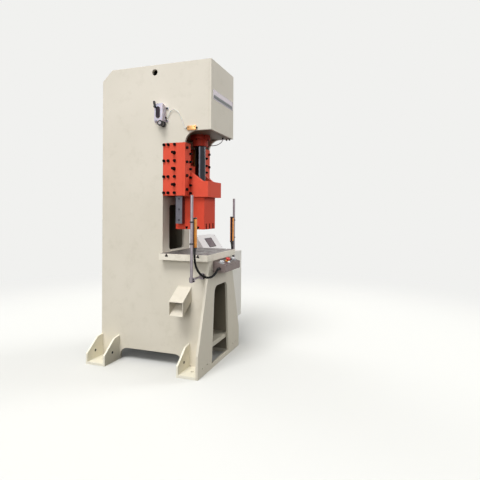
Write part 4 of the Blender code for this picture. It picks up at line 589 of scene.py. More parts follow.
def settle(piece):
    """Apply the object's place, turn and size to its mesh."""
    pick(piece)
    bpy.ops.object.transform_apply(location=True, rotation=True, scale=True)
    return piece


def turn_to(piece, place, axis):
    """Stand a piece that was made at the origin, along +Z, on a place along an axis."""
    piece.rotation_mode = "QUATERNION"
    piece.rotation_quaternion = UP.rotation_difference(Vector(axis))
    piece.location = place
    return settle(piece)


# %% Blocks and turned pieces
def block(low, high, edge=1, segments=2):
    """A block between two places, its edges rounded by so many mm."""
    deselect()
    bpy.ops.mesh.primitive_cube_add(size=1, location=(low + high) / 2, scale=high - low)
    made = settle(bpy.context.object)
    bpy.ops.object.mode_set(mode="EDIT")
    bpy.ops.mesh.select_all(action="SELECT")
    bpy.ops.mesh.bevel(offset=edge * MM, segments=segments, affect="EDGES")
    bpy.ops.object.mode_set(mode="OBJECT")
    return made


def block_by(place, low, high, edge=1, segments=2):
    """A block whose two corners are given in mm from a place."""
    return block(place + mm(*low), place + mm(*high), edge, segments)


def bar(radius, low, high, far=0, near=0):
    """The profile of a round bar in mm, with its far and near ends broken by so much."""
    start = [(radius - near, low)] if near else []
    end = [(radius - far, high)] if far else []
    return [*start, (radius, low + near), (radius, high - far), *end]


def turned(profile, place=ORIGIN, axis=UP, sides=32):
    """A turned piece: a filled circle extruded and scaled along (radius, height) steps in mm."""
    (radius, height), *steps = [(r * MM, h * MM) for r, h in profile]
    deselect()
    bpy.ops.mesh.primitive_circle_add(vertices=sides, radius=radius, fill_type="NGON",
                                      location=(0, 0, height))
    made = settle(bpy.context.object)
    bpy.ops.object.mode_set(mode="EDIT")
    bpy.ops.mesh.select_all(action="SELECT")
    for next_radius, next_height in steps:
        move = {"value": (0, 0, next_height - height)}
        bpy.ops.mesh.extrude_region_move(TRANSFORM_OT_translate=move)
        grow = next_radius / radius
        bpy.ops.transform.resize(value=(grow, grow, 1), center_override=(0, 0, next_height))
        radius, height = next_radius, next_height
    bpy.ops.mesh.select_all(action="SELECT")
    bpy.ops.mesh.normals_make_consistent(inside=False)
    bpy.ops.object.mode_set(mode="OBJECT")
    return turn_to(made, place, axis)


# %% Joining, copying and cutting
def joined(pieces):
    """Several pieces as one object, each keeping its own shape."""
    deselect()
    for piece in pieces:
        piece.select_set(True)
    bpy.context.view_layer.objects.active = pieces[0]
    if len(pieces) > 1:
        bpy.ops.object.join()
    return bpy.context.view_layer.objects.active


def copies(master, places, axis=UP, turns=None):
    """One object of copies of a piece, each with its own mesh, standing on its place."""
    made = []
    for i, place in enumerate(places):
        piece = show(master.name, master.data.copy())
        if turns:
            piece.data.transform(Matrix.Rotation(turns[i], 4, "Z"))
        made.append(turn_to(piece, place, axis))
    return joined(made)


def discard(*masters):
    """Remove the pieces that were only copied."""
    for master in masters:
        bpy.data.objects.remove(master)


def cut_out(piece, *tools):
    """Cut the tools out of a piece, and remove them."""
    for tool in tools:
        pick(piece)
        cut = piece.modifiers.new("cut", "BOOLEAN")
        cut.operation = "DIFFERENCE"
        cut.solver = "EXACT"
        cut.object = tool
        bpy.ops.object.modifier_apply(modifier=cut.name)
    discard(*tools)
    return piece


# %% Finishing a piece
SMOOTH_ANGLE = math.radians(32)


def edit_faces(piece, wanted):
    """Enter edit mode with only the faces selected that are wanted."""
    pick(piece)
    bpy.ops.object.mode_set(mode="EDIT")
    mesh = bmesh.from_edit_mesh(piece.data)
    for face in mesh.faces:
        face.select_set(wanted(face))
    bmesh.update_edit_mesh(piece.data)


def fit(piece, name, material, body="machine_frame", instead_of=()):
    """Name a finished piece, give it its finish, shade it and let it ride on a body."""
    piece.name = name
    piece.data.name = name
    piece.data.materials.clear()
    piece.data.materials.append(material)
    pick(piece)
    bpy.ops.object.shade_smooth_by_angle(angle=SMOOTH_ANGLE)
    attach(piece, body)
    if instead_of:
        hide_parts(*instead_of)
    return piece


def circle(radius, count, start=0.0):
    """Points in mm evenly round the origin, as pairs."""
    turns = [2 * math.pi * i / count + start for i in range(count)]
    return [(radius * math.cos(a), radius * math.sin(a)) for a in turns]


# %% [markdown]
# ### Socket screws and nuts
# Nearly every screw on the press is a socket head cap screw of blackened steel. Its head is
# turned with a small chamfer, and the hexagon socket is a six-sided prism cut out of it. The
# larger heads stand over the plain bolt heads of the CAD model, so their sockets are shallow. A
# hexagon nut is a turned piece with only six sides, chamfered at its corners.

# %% Screw and nut
HEAD_CHAMFER, NUT_CHAMFER, SOCKET_WIDTH = 0.12, 0.10, 0.52


def cap_screw(radius, height, floor=0.40):
    """A socket head cap screw's head, standing on the origin, its socket's floor a share up."""
    head = turned(bar(radius, -1, height, radius * HEAD_CHAMFER), sides=20)
    socket = turned(bar(radius * SOCKET_WIDTH, height * floor, height * 1.3), sides=6)
    return cut_out(head, socket)


def hex_nut(radius, height):
    """A hexagon nut or bolt head, standing on the origin."""
    return turned(bar(radius, 0, height, radius * NUT_CHAMFER), sides=6)


# %% [markdown]
# ## The rod and the gland
# The rod is a chromed bar of 91 mm, bolted to the ram by the flange at its foot. It comes out
# of the gland, a dark red ring under a flange. Four slots across the flange take the spanner
# that tightens it, and four cap screws hold it to the head. The CAD rod is a many-sided bar, so
# a finer one with a broken edge takes its place, and the chrome's reflection stays one line.

# %% Piston rod
ROD_RADIUS, ROD_FOOT_RADIUS, ROD_FOOT, NOSE_RADIUS, EDGE = 45.5, 68, 24, 25, 2
FOOT_SCREW_CIRCLE = 57
rod_low, rod_high = low_high("piston_rod")
shoulder, top = [(z - rod_low.z) / MM for z in (low_high("piston")[0].z, rod_high.z)]
foot = at(0, 0, rod_low.z)

rod = turned((*bar(ROD_FOOT_RADIUS, 0, ROD_FOOT, EDGE, EDGE),
              *bar(ROD_RADIUS, ROD_FOOT, shoulder), *bar(NOSE_RADIUS, shoulder, top)),
             foot, sides=72)
fit(rod, "piston_rod_chromed", chrome, "ram", ["piston_rod"])
flange_screw = cap_screw(6.5, 7)
places = [foot + mm(x, y, ROD_FOOT) for x, y in circle(FOOT_SCREW_CIRCLE, 8)]
fit(copies(flange_screw, places), "rod_foot_screws", black_screw, "ram")
print(f"rod {top:.0f} mm long on a foot with {len(places)} screws")

# %% Gland
GLAND_RADIUS, GLAND_FLANGE_RADIUS, GLAND_FLANGE = 66.5, 86.5, 36
SPANNER_SLOTS, SPANNER_SLOT = 4, 16
GLAND_SCREW_CIRCLE = 77
under = at(0, 0, low_high("cylinder_gland")[0].z)
head = (head_low.z - under.z) / MM
flange = head - GLAND_FLANGE

gland = turned(((ROD_RADIUS + 4, 0), *bar(GLAND_RADIUS, 0, flange, near=EDGE),
                *bar(GLAND_FLANGE_RADIUS, flange, head - 0.3, near=EDGE)), under, sides=64)
bore = turned(bar(ROD_RADIUS + 0.6, -10, head + 10), under, sides=64)
slot = block_by(ORIGIN, (GLAND_RADIUS + 2, -SPANNER_SLOT / 2, flange - 10),
                (GLAND_FLANGE_RADIUS + 10, SPANNER_SLOT / 2, head + 10), 0.5)
slot_turns = [2 * math.pi * (i + 0.5) / SPANNER_SLOTS for i in range(SPANNER_SLOTS)]
cut_out(gland, bore, copies(slot, [under] * SPANNER_SLOTS, turns=slot_turns))
fit(gland, "gland_ring", dark_red, instead_of=["cylinder_gland"])

wiper = turned([(ROD_RADIUS + r, z) for r, z in ((0.7, -4), (3, -4), (9, -1), (9, 3))], under,
               sides=64)
cut_out(wiper, turned(bar(ROD_RADIUS + 0.5, -10, 10), under, sides=64))
fit(wiper, "rod_wiper", black_plastic)
places = [under + mm(x, y, flange) for x, y in circle(GLAND_SCREW_CIRCLE, SPANNER_SLOTS)]
fit(copies(flange_screw, places, (0, 0, -1)), "gland_screws", black_screw)
discard(slot, flange_screw)
print(f"gland with {SPANNER_SLOTS} slots and screws")

# %% [markdown]
# ## The ram guides
# Two red housings hold the bronze gibs that the ram's rails slide on. Each is held to the column
# by three rows of M16 cap screws, and three long set screws with lock nuts press the side gib
# against the rail. On the front, the keeper plate has its own cap screws and a row of smaller
# adjusting screws. The heights are shares of the guide's length, so the rows stay on the guide.

# %% Screws of the guides
GUIDE_LOW, GUIDE_HIGH = 1.405, 1.840
COLUMN_HALF = 0.253
GUIDE_FRONT, GUIDE_REAR = 0.019, 0.2222
FACE = 0.2 * MM
SIDE_TURNS = (0.3, 0.9, 0.55)
HOUSING_SETBACKS, HOUSING_SHARES = (0.0112, 0.0502, 0.1092), (0.055, 0.361, 0.662, 0.968)
SIDE_SCREW_Y, SIDE_SHARES = 0.1185, (0.209, 0.510, 0.814)
KEEPER_SCREW_X, KEEPER_SHARES = 0.226, (0.117, 0.379, 0.639, 0.906)
FRONT_SCREW_X, FRONT_SHARES = 0.165, (0.051, 0.202, 0.354, 0.513, 0.651, 0.805)


def down_guide(x, y, shares):
    """Places along the guide, at shares of its length."""
    return [at(x, y, GUIDE_LOW + share * (GUIDE_HIGH - GUIDE_LOW)) for share in shares]


def set_screw(radius, reach):
    """A cap screw that stands out of its lock nut, with a washer under the nut."""
    washer = reach * 0.06
    return joined([turned(bar(radius * 2.05, 0, washer), sides=20),
                   turn_to(hex_nut(radius * 1.78, reach * 0.40), mm(0, 0, washer), UP),
                   turned(bar(radius, 0, reach * 0.7), sides=20),
                   turn_to(cap_screw(radius * 1.5, reach * 0.36, 0.86), mm(0, 0, reach * 0.64),
                           UP)])


big_screw, keeper_screw = cap_screw(12, 14, 0.76), cap_screw(11.5, 14, 0.76)
side_screw, front_screw = set_screw(7.6, 37), set_screw(5.6, 18.5)
front = GUIDE_FRONT - FACE
for side, sign in SIDES:
    face, outward = sign * (COLUMN_HALF + FACE), (sign, 0, 0)
    screws = [copies(big_screw, down_guide(face, GUIDE_REAR - setback, HOUSING_SHARES), outward)
              for setback in HOUSING_SETBACKS]
    screws.append(copies(side_screw, down_guide(face, SIDE_SCREW_Y, SIDE_SHARES), outward,
                         SIDE_TURNS))
    fit(joined(screws), "housing_screws_" + side, black_screw)
    screws = [copies(keeper_screw, down_guide(sign * KEEPER_SCREW_X, front, KEEPER_SHARES),
                     (0, -1, 0)),
              copies(front_screw, down_guide(sign * FRONT_SCREW_X, front, FRONT_SHARES),
                     (0, -1, 0))]
    fit(joined(screws), "keeper_screws_" + side, black_screw)
discard(big_screw, keeper_screw, side_screw, front_screw)
print("25 screws on each guide")

# %% [markdown]
# ## The ram's rails
# Two hardened rails are let into the back of the ram. A row of countersunk screws down each
# rail's outer face holds it, set flush so that the gib can slide over them.

# %% Rail screws
rail_low, rail_high = low_high("ram_rail_right")
RAIL_SCREW_INSET, RAIL_SCREW_PITCH = 0.030, 0.090

flush_screw = cut_out(turned(bar(8.5, -2, 0.1), sides=24), turned(bar(4, -1.6, 1), sides=6))
count = int((rail_high.z - rail_low.z - 2 * RAIL_SCREW_INSET) / RAIL_SCREW_PITCH) + 1
for side, sign in SIDES:
    places = [at(sign * rail_high.x, (rail_low.y + rail_high.y) / 2,
                 rail_low.z + RAIL_SCREW_INSET + i * RAIL_SCREW_PITCH) for i in range(count)]
    fit(copies(flush_screw, places, (sign, 0, 0)), "rail_screws_" + side, black_screw, "ram")
discard(flush_screw)
print(f"{count} screws on each rail")

# %% [markdown]
# ## The light guard
# A satin steel post stands out on an arm at each side of the table and carries a light curtain:
# an orange extruded housing with a smoked lens along the side that faces its partner, a black
# end cap at each end, and two black clamps round the post. The CAD curtain is one solid, so
# these pieces replace it. The housing is a rounded block whose lens channel is cut in, and the
# post and its collar are turned.

# %% Posts and arms
post_low, post_high = low_high("guard_post_right")
POST_X, POST_Y, ARM_Z = 0.460, -0.145, post_low.z + 0.022
POST_RADIUS, POST_LENGTH = 11, (post_high.z - post_low.z) / MM
ARM_RADIUS, ARM_LENGTH = 9, (POST_X - COLUMN_HALF) / MM
COLLAR_RADIUS, COLLAR_HALF = 17.5, 18
FLANGE_RADIUS, FLANGE_THICK, FLANGE_CIRCLE = 26, 12, 21
BOSS_RADIUS, BOSS_LENGTH = 16, 50

clamp_screw, flange_screw = cap_screw(5, 6), cap_screw(5.5, 6.5)
for side, sign in SIDES:
    outward = (sign, 0, 0)
    root, joint = at(sign * COLUMN_HALF, POST_Y, ARM_Z), at(sign * POST_X, POST_Y, ARM_Z)
    post = turned(bar(POST_RADIUS, 0, POST_LENGTH, 1.5, 1.5),
                  at(sign * POST_X, POST_Y, post_low.z), sides=40)
    fit(post, "guard_post_bar_" + side, satin_steel,
        instead_of=["guard_post_" + side])
    arm = turned((*bar(FLANGE_RADIUS, 0.3, FLANGE_THICK, 1),
                  *bar(BOSS_RADIUS, FLANGE_THICK, BOSS_LENGTH, 2),
                  *bar(ARM_RADIUS, BOSS_LENGTH, ARM_LENGTH)), root, outward, 40)
    collar = turned(bar(COLLAR_RADIUS, -COLLAR_HALF, COLLAR_HALF, 1, 1), joint, sides=40)
    ear = cut_out(block_by(joint, (-6, -COLLAR_RADIUS - 12, -14), (6, -COLLAR_RADIUS + 4, 14)),
                  block_by(joint, (-1, -100, -20), (1, 0, 20), 0.1))
    fit(joined([arm, collar, ear]), "guard_arm_turned_" + side, satin_steel,
        instead_of=["guard_arm_" + side])
    pair = [joint + mm(sign * 6, -COLLAR_RADIUS - 5, z) for z in (-7, 7)]
    ring = [root + mm(sign * FLANGE_THICK, y, z)
            for y, z in circle(FLANGE_CIRCLE, 4, math.radians(45))]
    fit(joined([copies(clamp_screw, pair, outward), copies(flange_screw, ring, outward)]),
        "arm_screws_" + side, black_screw)
discard(clamp_screw, flange_screw)
print(f"posts {POST_LENGTH:.0f} mm tall")

# %% Parts of a light curtain
CURTAIN_X, CURTAIN_LOW = 0.410, 0.987
CURTAIN_HALF, CURTAIN_LENGTH = 15, 241
CAP_HEIGHT, CAP_SWELL = 11, 0.5
LENS_HALF = 9
GLAND_CAP = ((13.4, 7), (13.4, 14), (11.5, 18), (10.6, 24), (9.6, 42))


def strip(foot, x, half_x, half_y, ends, edge, segments=2):
    """A block up the curtain at x, in mm from its foot, that stops short of both ends."""
    return block_by(foot, (x - half_x, -half_y, ends),
                    (x + half_x, half_y, CURTAIN_LENGTH - ends), edge, segments)


cable_gland = joined([turned(bar(14, 0, 7, 1), sides=6), turned(GLAND_CAP)])
lens_screw = cap_screw(2.4, 1.6)
pin = set_screw(3.2, 16)
print(f"curtain {CURTAIN_LENGTH} mm tall")

# %% Light curtains
CLAMP_SHARES = (0.178, 0.863)
CLAMP_HALF, CLAMP_RADIUS = 5, POST_RADIUS + 3.5
CLAMP_START = CURTAIN_HALF - 1 - (POST_X - CURTAIN_X) / MM

for side, sign in SIDES:
    foot = at(sign * CURTAIN_X, POST_Y, CURTAIN_LOW)
    half = CURTAIN_HALF
    housing = cut_out(strip(foot, 0, half, half, CAP_HEIGHT, 3, 3),
                      strip(foot, -sign * half, 3, LENS_HALF, 0, 0.2),
                      strip(foot, sign * half, 2, 4, 0, 0.2))
    fit(housing, "curtain_housing_" + side, orange_lacquer,
        instead_of=["light_curtain_" + side])
    lens = strip(foot, -sign * (half - 1.6), 1.3, LENS_HALF - 0.3, CAP_HEIGHT, 0.6)
    spine = strip(foot, sign * (half - 1), 0.9, 3.7, CAP_HEIGHT, 0.4)
    fit(joined([lens, spine]), "curtain_lens_" + side, lens_plastic)
    half += CAP_SWELL
    caps = [block_by(foot, (-half, -half, low), (half, half, low + CAP_HEIGHT), 3, 3)
            for low in (0, CURTAIN_LENGTH - CAP_HEIGHT)]
    for share in CLAMP_SHARES:
        clamp = at(sign * POST_X, POST_Y, CURTAIN_LOW + share * CURTAIN_LENGTH * MM)
        start, end = sorted((sign * CLAMP_START, -sign * POST_RADIUS))
        caps += [block_by(clamp, (start, -CLAMP_HALF, -CLAMP_HALF),
                          (end, CLAMP_HALF, CLAMP_HALF)),
                 cut_out(turned(bar(CLAMP_RADIUS, -CLAMP_HALF, CLAMP_HALF), clamp, sides=40),
                         turned(bar(POST_RADIUS + 0.3, -20, 20), clamp, sides=40)),
                 copies(pin, [clamp + mm(sign * (CLAMP_RADIUS - 1), 0, 0)], (sign, 0, 0))]
    caps.append(copies(cable_gland, [foot], (0, 0, -1)))
    fit(joined(caps), "curtain_caps_" + side, black_plastic)
    places = [foot + mm(x, y, CURTAIN_LENGTH + 0.2) for x in (-10, 10) for y in (-10, 10)]
    fit(copies(lens_screw, places), "curtain_cap_screws_" + side, zinc)
discard(lens_screw, pin)
print("two light curtains")

# %% [markdown]
# ## The two-hand control box
# The operator holds down both silver buttons, one at each end of a brushed stainless box, so
# both hands are off the table when the ram moves. Between them stand the red emergency stop on
# its yellow ring, a lamp and a selector switch. Each button is turned to the shape of its cap
# and sits in a threaded collar. All of them stand square to the sloping lid, so the slope is
# worked out once, from the heights of the box's front and back edges.

# %% The box's slope
BOX_HALF = 0.179
BOX_FRONT_Y, BOX_REAR_Y = -0.308, -0.2017
BOX_LOW_Z, BOX_FRONT_TOP, BOX_REAR_TOP = 0.783, 0.843, 0.872
BUTTON_Y = BOX_FRONT_Y + 0.048
SLOPE = (BOX_REAR_TOP - BOX_FRONT_TOP) / (BOX_REAR_Y - BOX_FRONT_Y)
LID_UP = Vector((0, -SLOPE, 1)).normalized()


def on_lid(x, y):
    """A place on the sloping lid."""
    return at(x, y, BOX_FRONT_TOP + SLOPE * (y - BOX_FRONT_Y))


def collar(radius, height, bore, place, axis):
    """A threaded collar or bezel ring that a button stands in."""
    ring = cut_out(turned(bar(radius, 0.1, height, 1), sides=40),
                   turned(bar(bore, -1, height + 1), sides=40))
    return turn_to(ring, place, axis)


print(f"lid slopes {math.degrees(math.atan(SLOPE)):.1f} degrees")

# %% Start and stop buttons
START_X = BOX_HALF - 0.044
START_CAP = ((12, -14), (12, 7), (19, 7), (19, 15), (17.8, 17.8), (15, 19), (13, 18.4),
             (2, 16.8))
STOP_CAP = ((10, -14), (10, 12), (17, 12), (20, 16), (20, 21), (18.5, 25), (15, 28.5), (10, 30),
            (1, 30))

for side, sign in SIDES:
    place = on_lid(sign * START_X, BUTTON_Y)
    fit(turned(START_CAP, place, LID_UP, 48), "start_cap_" + side, silver_plastic,
        "start_button_" + side, ["start_button_" + side])
    fit(collar(24, 5, 20, place, LID_UP), "start_collar_" + side, zinc)
place = on_lid(0, BUTTON_Y)
fit(turned(STOP_CAP, place, LID_UP, 48), "stop_mushroom", red_plastic, "emergency_stop",
    ["emergency_stop"])
fit(collar(22, 2.5, 11, place, LID_UP), "stop_ring", amber_plastic)
print("two start buttons and a stop")

# %% Selector and lamp
SELECTOR = on_lid(0.062, BUTTON_Y)
LAMP = on_lid(-0.040, BUTTON_Y - 0.026)

knob = turned(((8, -14), (8, 0.6), *bar(11, 0.6, 8, 1)), sides=40)
handle = block_by(ORIGIN, (-3.5, -11, 5), (3.5, 11, 16), 1.5, 3)
fit(turn_to(joined([knob, handle]), SELECTOR, LID_UP), "selector_knob", black_plastic,
    "mode_selector", ["mode_selector"])
mark = block_by(ORIGIN, (-0.6, 2, 15.8), (0.6, 10, 16.3), 0.2)
fit(turn_to(mark, SELECTOR, LID_UP), "selector_mark", white_nylon, "mode_selector")
fit(joined([collar(15, 3, 11.6, SELECTOR, LID_UP), collar(15, 4, 9, LAMP, LID_UP)]),
    "small_collars", zinc)
lens = turned(((9.5, 0.1), (9.5, 7), (8.5, 9.5), (5, 11), (1, 11.4)), LAMP, LID_UP)
fit(lens, "power_lamp_lens", white_nylon)
print("selector and lamp")

# %% [markdown]
# ### The box itself
# The CAD box keeps its place and gets its brushed finish. The lid is a folded sheet of its own:
# its lip shows as a thin step along the front, held by small screws, and a plain
# legend plate lies under each start button. Cable glands of black nylon stand at both ends.

# %% Lid, legend plates and glands
LIP, LIP_DEPTH = 1.2, 12
BOX_GLAND_Z = BOX_LOW_Z + 0.031
FRONT = (0, -1, 0)

front_lip = block(on_lid(-BOX_HALF - LIP * MM, BOX_FRONT_Y - LIP * MM) - mm(0, 0, LIP_DEPTH),
                  on_lid(BOX_HALF + LIP * MM, BOX_FRONT_Y - 0.1 * MM) + mm(0, 0, 1), 0.4)
fit(front_lip, "box_lid_lip", stainless)
small_screw = cap_screw(3, 2)
places = [at(x, BOX_FRONT_Y, BOX_FRONT_TOP) - mm(0, LIP, 7) for x in (-0.15, -0.05, 0.05, 0.15)]
places += [at(x, BOX_FRONT_Y, BOX_LOW_Z) + mm(0, -0.2, 10) for x in (-0.168, 0.168)]
fit(copies(small_screw, places, FRONT), "box_screws", black_screw)

plate = block_by(ORIGIN, (-27, -24, 0.05), (27, 24, 0.9), 0.3)
places = [on_lid(sign * START_X, BUTTON_Y) for side, sign in SIDES]
fit(copies(plate, places, LID_UP), "legend_plates", zinc)
glands = [copies(cable_gland, [at(sign * BOX_HALF, BUTTON_Y, BOX_GLAND_Z)], (sign, 0, 0))
          for side, sign in SIDES]
fit(joined(glands), "box_glands", black_plastic)
discard(plate, cable_gland)
print("box closed")

# %% [markdown]
# ## The cabinet and the console
# The electrical cabinet hangs on the right of the column with a hinged door on its outer side.
# On top of it stands a white desk whose sloping face holds the touch screen. A screen sits
# behind a thin black bezel. The door has a pressed frame, a row of louvres and a quarter-turn
# latch.

# %% Console face
console_low, console_high = low_high("operator_console")
screen_low, screen_high = low_high("console_screen")
FACE_LOW = Vector((0, console_low.y, console_low.z + 0.0184))
FACE_HIGH = Vector((0, console_high.y - 0.064, console_high.z))
FACE_ALONG = (FACE_HIGH - FACE_LOW).normalized()
FACE_OUT = Vector((0, -FACE_ALONG.z, FACE_ALONG.y))
FACE_TURN = Matrix((Vector((1, 0, 0)), FACE_ALONG, FACE_OUT)).transposed().to_4x4()
FACE_LENGTH = (FACE_HIGH - FACE_LOW).length
SCREEN_START, SCREEN_END = 0.20 * FACE_LENGTH, 0.78 * FACE_LENGTH
SCREW_INSET = 12 * MM


def on_face(x, along, out=0.0):
    """A place on the console's sloping face, along metres up from its lower edge."""
    place = FACE_LOW + FACE_ALONG * along + FACE_OUT * out
    return at(x, place.y, place.z)


def face_panel(margin, low, high, edge):
    """A panel over the screen, wider by a margin, from low to high out of the face, in mm."""
    panel = block(Vector((screen_low.x, SCREEN_START, 0)) + mm(-margin, -margin, low),
                  Vector((screen_high.x, SCREEN_END, 0)) + mm(margin, margin, high), edge)
    panel.matrix_world = Matrix.Translation(on_face(0, 0)) @ FACE_TURN
    return settle(panel)


bezel = cut_out(face_panel(4, 0, 3, 0.9), face_panel(-1, -5, 7, 0.2))
fit(bezel, "screen_bezel", black_plastic)
fit(face_panel(0, 0, 1.6, 0.3), "screen_glass", screen_glass,
    instead_of=["console_screen"])
places = [on_face(x, along, FACE)
          for x in (console_low.x + SCREW_INSET, console_high.x - SCREW_INSET)
          for along in (SCREW_INSET, FACE_LENGTH - SCREW_INSET)]
fit(copies(small_screw, places, FACE_OUT), "console_screws", black_screw)
print(f"console face {FACE_LENGTH / MM:.0f} mm long")

# %% Cabinet door
door_low, door_high = low_high("cabinet_door")
DOOR_FACE, DOOR_FRONT, DOOR_REAR = 0.765, -0.117, 0.250
FRAME_INSET, FRAME_WIDTH, LATCH_ROOM = 14, 20, 16
LOUVRES, LOUVRE_PITCH, LOUVRE_TOP = 7, 0.015, 0.10

low = at(DOOR_FACE, DOOR_FRONT, door_low.z) + mm(0, FRAME_INSET, FRAME_INSET)
high = at(DOOR_FACE, DOOR_REAR, door_high.z) - mm(0, FRAME_INSET, FRAME_INSET)
middle = block(low + mm(-100, FRAME_WIDTH + LATCH_ROOM, FRAME_WIDTH),
               high + mm(100, -FRAME_WIDTH, -FRAME_WIDTH), 0.2)
pressed = cut_out(block(low - mm(0.5, 0, 0), high + mm(1.6, 0, 0), 1.2), middle)
fit(pressed, "door_pressed_frame", cream, "cabinet_door")

louvre = block_by(ORIGIN, (-45, -0.5, -4), (45, 3.5, 4), 1.4)
edit_faces(louvre, lambda face: face.normal.z < -0.5
           or (face.normal.y > 0.5 and face.calc_center_median().z < -2 * MM))
bpy.ops.transform.translate(value=mm(0, 1.5, 0))
bpy.ops.object.mode_set(mode="OBJECT")
louvre.data.transform(Matrix.Rotation(-QUARTER_TURN, 4, "Z"))
places = [at(DOOR_FACE, (DOOR_FRONT + DOOR_REAR) / 2, door_high.z - LOUVRE_TOP) - UP * step
          for step in (i * LOUVRE_PITCH for i in range(LOUVRES))]
fit(copies(louvre, places), "door_louvres", cream, "cabinet_door")
discard(louvre)
print(f"{LOUVRES} louvres on the door")

# %% Door latch
LATCH = at(DOOR_FACE, DOOR_FRONT + 0.030, (door_low.z + door_high.z) / 2)
LATCH_OUT = (1, 0, 0)
dish = turned(((9, -11), (9, 0.3), (14, 0.3), (14, 4.5), (13, 6)), LATCH, LATCH_OUT, 40)
wing = block_by(LATCH, (3, -4.75, -19), (18, 4.75, 19), 3, 3)
fit(joined([dish, wing]), "latch_wing_knob", black_plastic, "door_latch",
    ["door_latch"])
fit(collar(17, 2, 14.3, LATCH, LATCH_OUT), "latch_collar", zinc, "cabinet_door")
print("latch")

# %% [markdown]
# ## The hand lubricator
# A small oil pump is screwed to the column's left side. Its pale moulded reservoir has an oval
# sight window, and a black lever on its face works the pump, whose barrel with two black bands
# lies under it. A thin white nylon tube goes from its outlet to the brass distributor over the
# guides. The reservoir is a block whose top is sloped towards the wall by a bisection, and the
# window's frame is a circle stretched to an oval.

# %% Lubricator body
OUT = (-1, 0, 0)
SIDE_X = -COLUMN_HALF - 0.3 * MM
FACE_X = SIDE_X - 0.060
LUBE_FRONT, LUBE_REAR = 0.195, 0.275
LUBE_LOW, LUBE_HIGH = 2.012, 2.160
EAR, EAR_HALF = 6, 10
EARS = [(y, z) for y in (LUBE_FRONT - 0.013, LUBE_REAR + 0.013)
        for z in (LUBE_LOW + 0.011, LUBE_HIGH - 0.034)]

tank = block(at(FACE_X, LUBE_FRONT, LUBE_LOW), at(SIDE_X, LUBE_REAR, LUBE_HIGH), 5, 3)
pick(tank)
bpy.ops.object.mode_set(mode="EDIT")
bpy.ops.mesh.select_all(action="SELECT")
bpy.ops.mesh.bisect(plane_co=at(FACE_X + 0.012, 0, LUBE_HIGH), plane_no=(0.45, 0, 0.89),
                    use_fill=True, clear_outer=True)
bpy.ops.object.mode_set(mode="OBJECT")
ears = [block_by(at(SIDE_X, y, z), (-EAR, -EAR_HALF, -EAR_HALF), (0, EAR_HALF, EAR_HALF))
        for y, z in EARS]
fit(joined([tank, *ears]), "lubricator_tank", reservoir_plastic,
    instead_of=["lubricator_body"])
print(f"reservoir on {len(ears)} ears")

# %% Sight window
SIGHT = at(FACE_X, 0.238, 2.086)
SIGHT_HALF_Y, SIGHT_HALF_Z, RIM = 19.5, 48, 8
ZERO = 1e-6


def oval(inset, low, high):
    """An upright oval disc over the sight, inset from its rim, from low to high mm out."""
    disc = turned(bar(SIGHT_HALF_Y - inset, low, high), sides=48)
    pick(disc)
    bpy.ops.object.mode_set(mode="EDIT")
    mesh = bmesh.from_edit_mesh(disc.data)
    for end in (1, -1):
        for vertex in mesh.verts:
            vertex.select_set(end * vertex.co.x > ZERO)
        mesh.select_flush(True)
        bmesh.update_edit_mesh(disc.data)
        bpy.ops.transform.translate(value=mm(end * (SIGHT_HALF_Z - SIGHT_HALF_Y), 0, 0))
    bpy.ops.object.mode_set(mode="OBJECT")
    disc.matrix_world = Matrix.Translation(SIGHT) @ Matrix.Rotation(-QUARTER_TURN, 4, "Y")
    return settle(disc)


fit(cut_out(oval(0, -1, 2.5), oval(RIM, -4, 5)), "sight_frame", black_plastic)
fit(oval(RIM, -1, 0.8), "sight_glass", lens_plastic)
print("sight window")

# %% Pump barrel and lever
BARREL = at(SIDE_X, 0.2165, 1.997)
LEVER = at(FACE_X, LUBE_FRONT + 0.067, LUBE_LOW + 0.119)
GRIP = ((7.5, 0), (8, 8), (10, 26), (10, 40), (8, 46), (4, 48))
GRIP_AXIS = (0, 0.12, 1)

tube = turned(bar(18, 0, 50), BARREL, OUT, 40)
disc = turned((*bar(13, 60, 70, 1), (6, 70), (5, 69)), BARREL, OUT, 40)
fit(joined([tube, disc]), "pump_barrel_tube", anodised)
band = turned(bar(23.5, 6, 26, 1, 1), BARREL, OUT, 40)
cap = turned(((22.5, 46), (23.5, 47), (23.5, 65), (21, 68)), BARREL, OUT, 40)
fit(joined([band, cap]), "pump_barrel_bands", black_plastic)
hub = turned(bar(9.5, 0.4, 17, 1), LEVER, OUT)
grip = turned(GRIP, LEVER - mm(10, 0, 0), GRIP_AXIS)
fit(joined([hub, grip]), "lubricator_grip", black_plastic, "lubricator_lever",
    ["lubricator_lever"])

ear_screw = cap_screw(6, 7)
screws = [copies(ear_screw, [at(SIDE_X, y, z) - mm(EAR, 0, 0) for y, z in EARS], OUT),
          copies(small_screw, [at(FACE_X, 0.239, LUBE_HIGH - 0.006),
                               at(FACE_X, 0.255, LUBE_LOW + 0.009)], OUT)]
fit(joined(screws), "lubricator_screws", black_screw)
discard(ear_screw, small_screw)
print("pump barrel and lever")

# %% [markdown]
# ### Distributor and oil tube
# The brass block shares the oil out to the guides. It is milled, so its edges are sharp, and it
# carries a blackened union at each end and two mounting screws. The tube is 6 mm nylon and runs
# as in the CAD model, but through more points, so that its bends read round.

# %% Distributor and oil tube
BLOCK_FRONT, BLOCK_REAR = -0.081, -0.005
BLOCK_LOW, BLOCK_HIGH, BLOCK_DEPTH = 1.934, 1.969, 0.016
TUBE_X = SIDE_X - 0.010
TUBE_POINTS = ((0.1827, 2.048), (0.1797, 2.048), (0.169, 2.062), (0.159, 2.088), (0.140, 2.106),
               (0.116, 2.111), (0.083, 2.093), (0.055, 2.047), (0.036, 1.996), (0.022, 1.962),
               (0.0103, 1.9515), (0.0073, 1.9515))

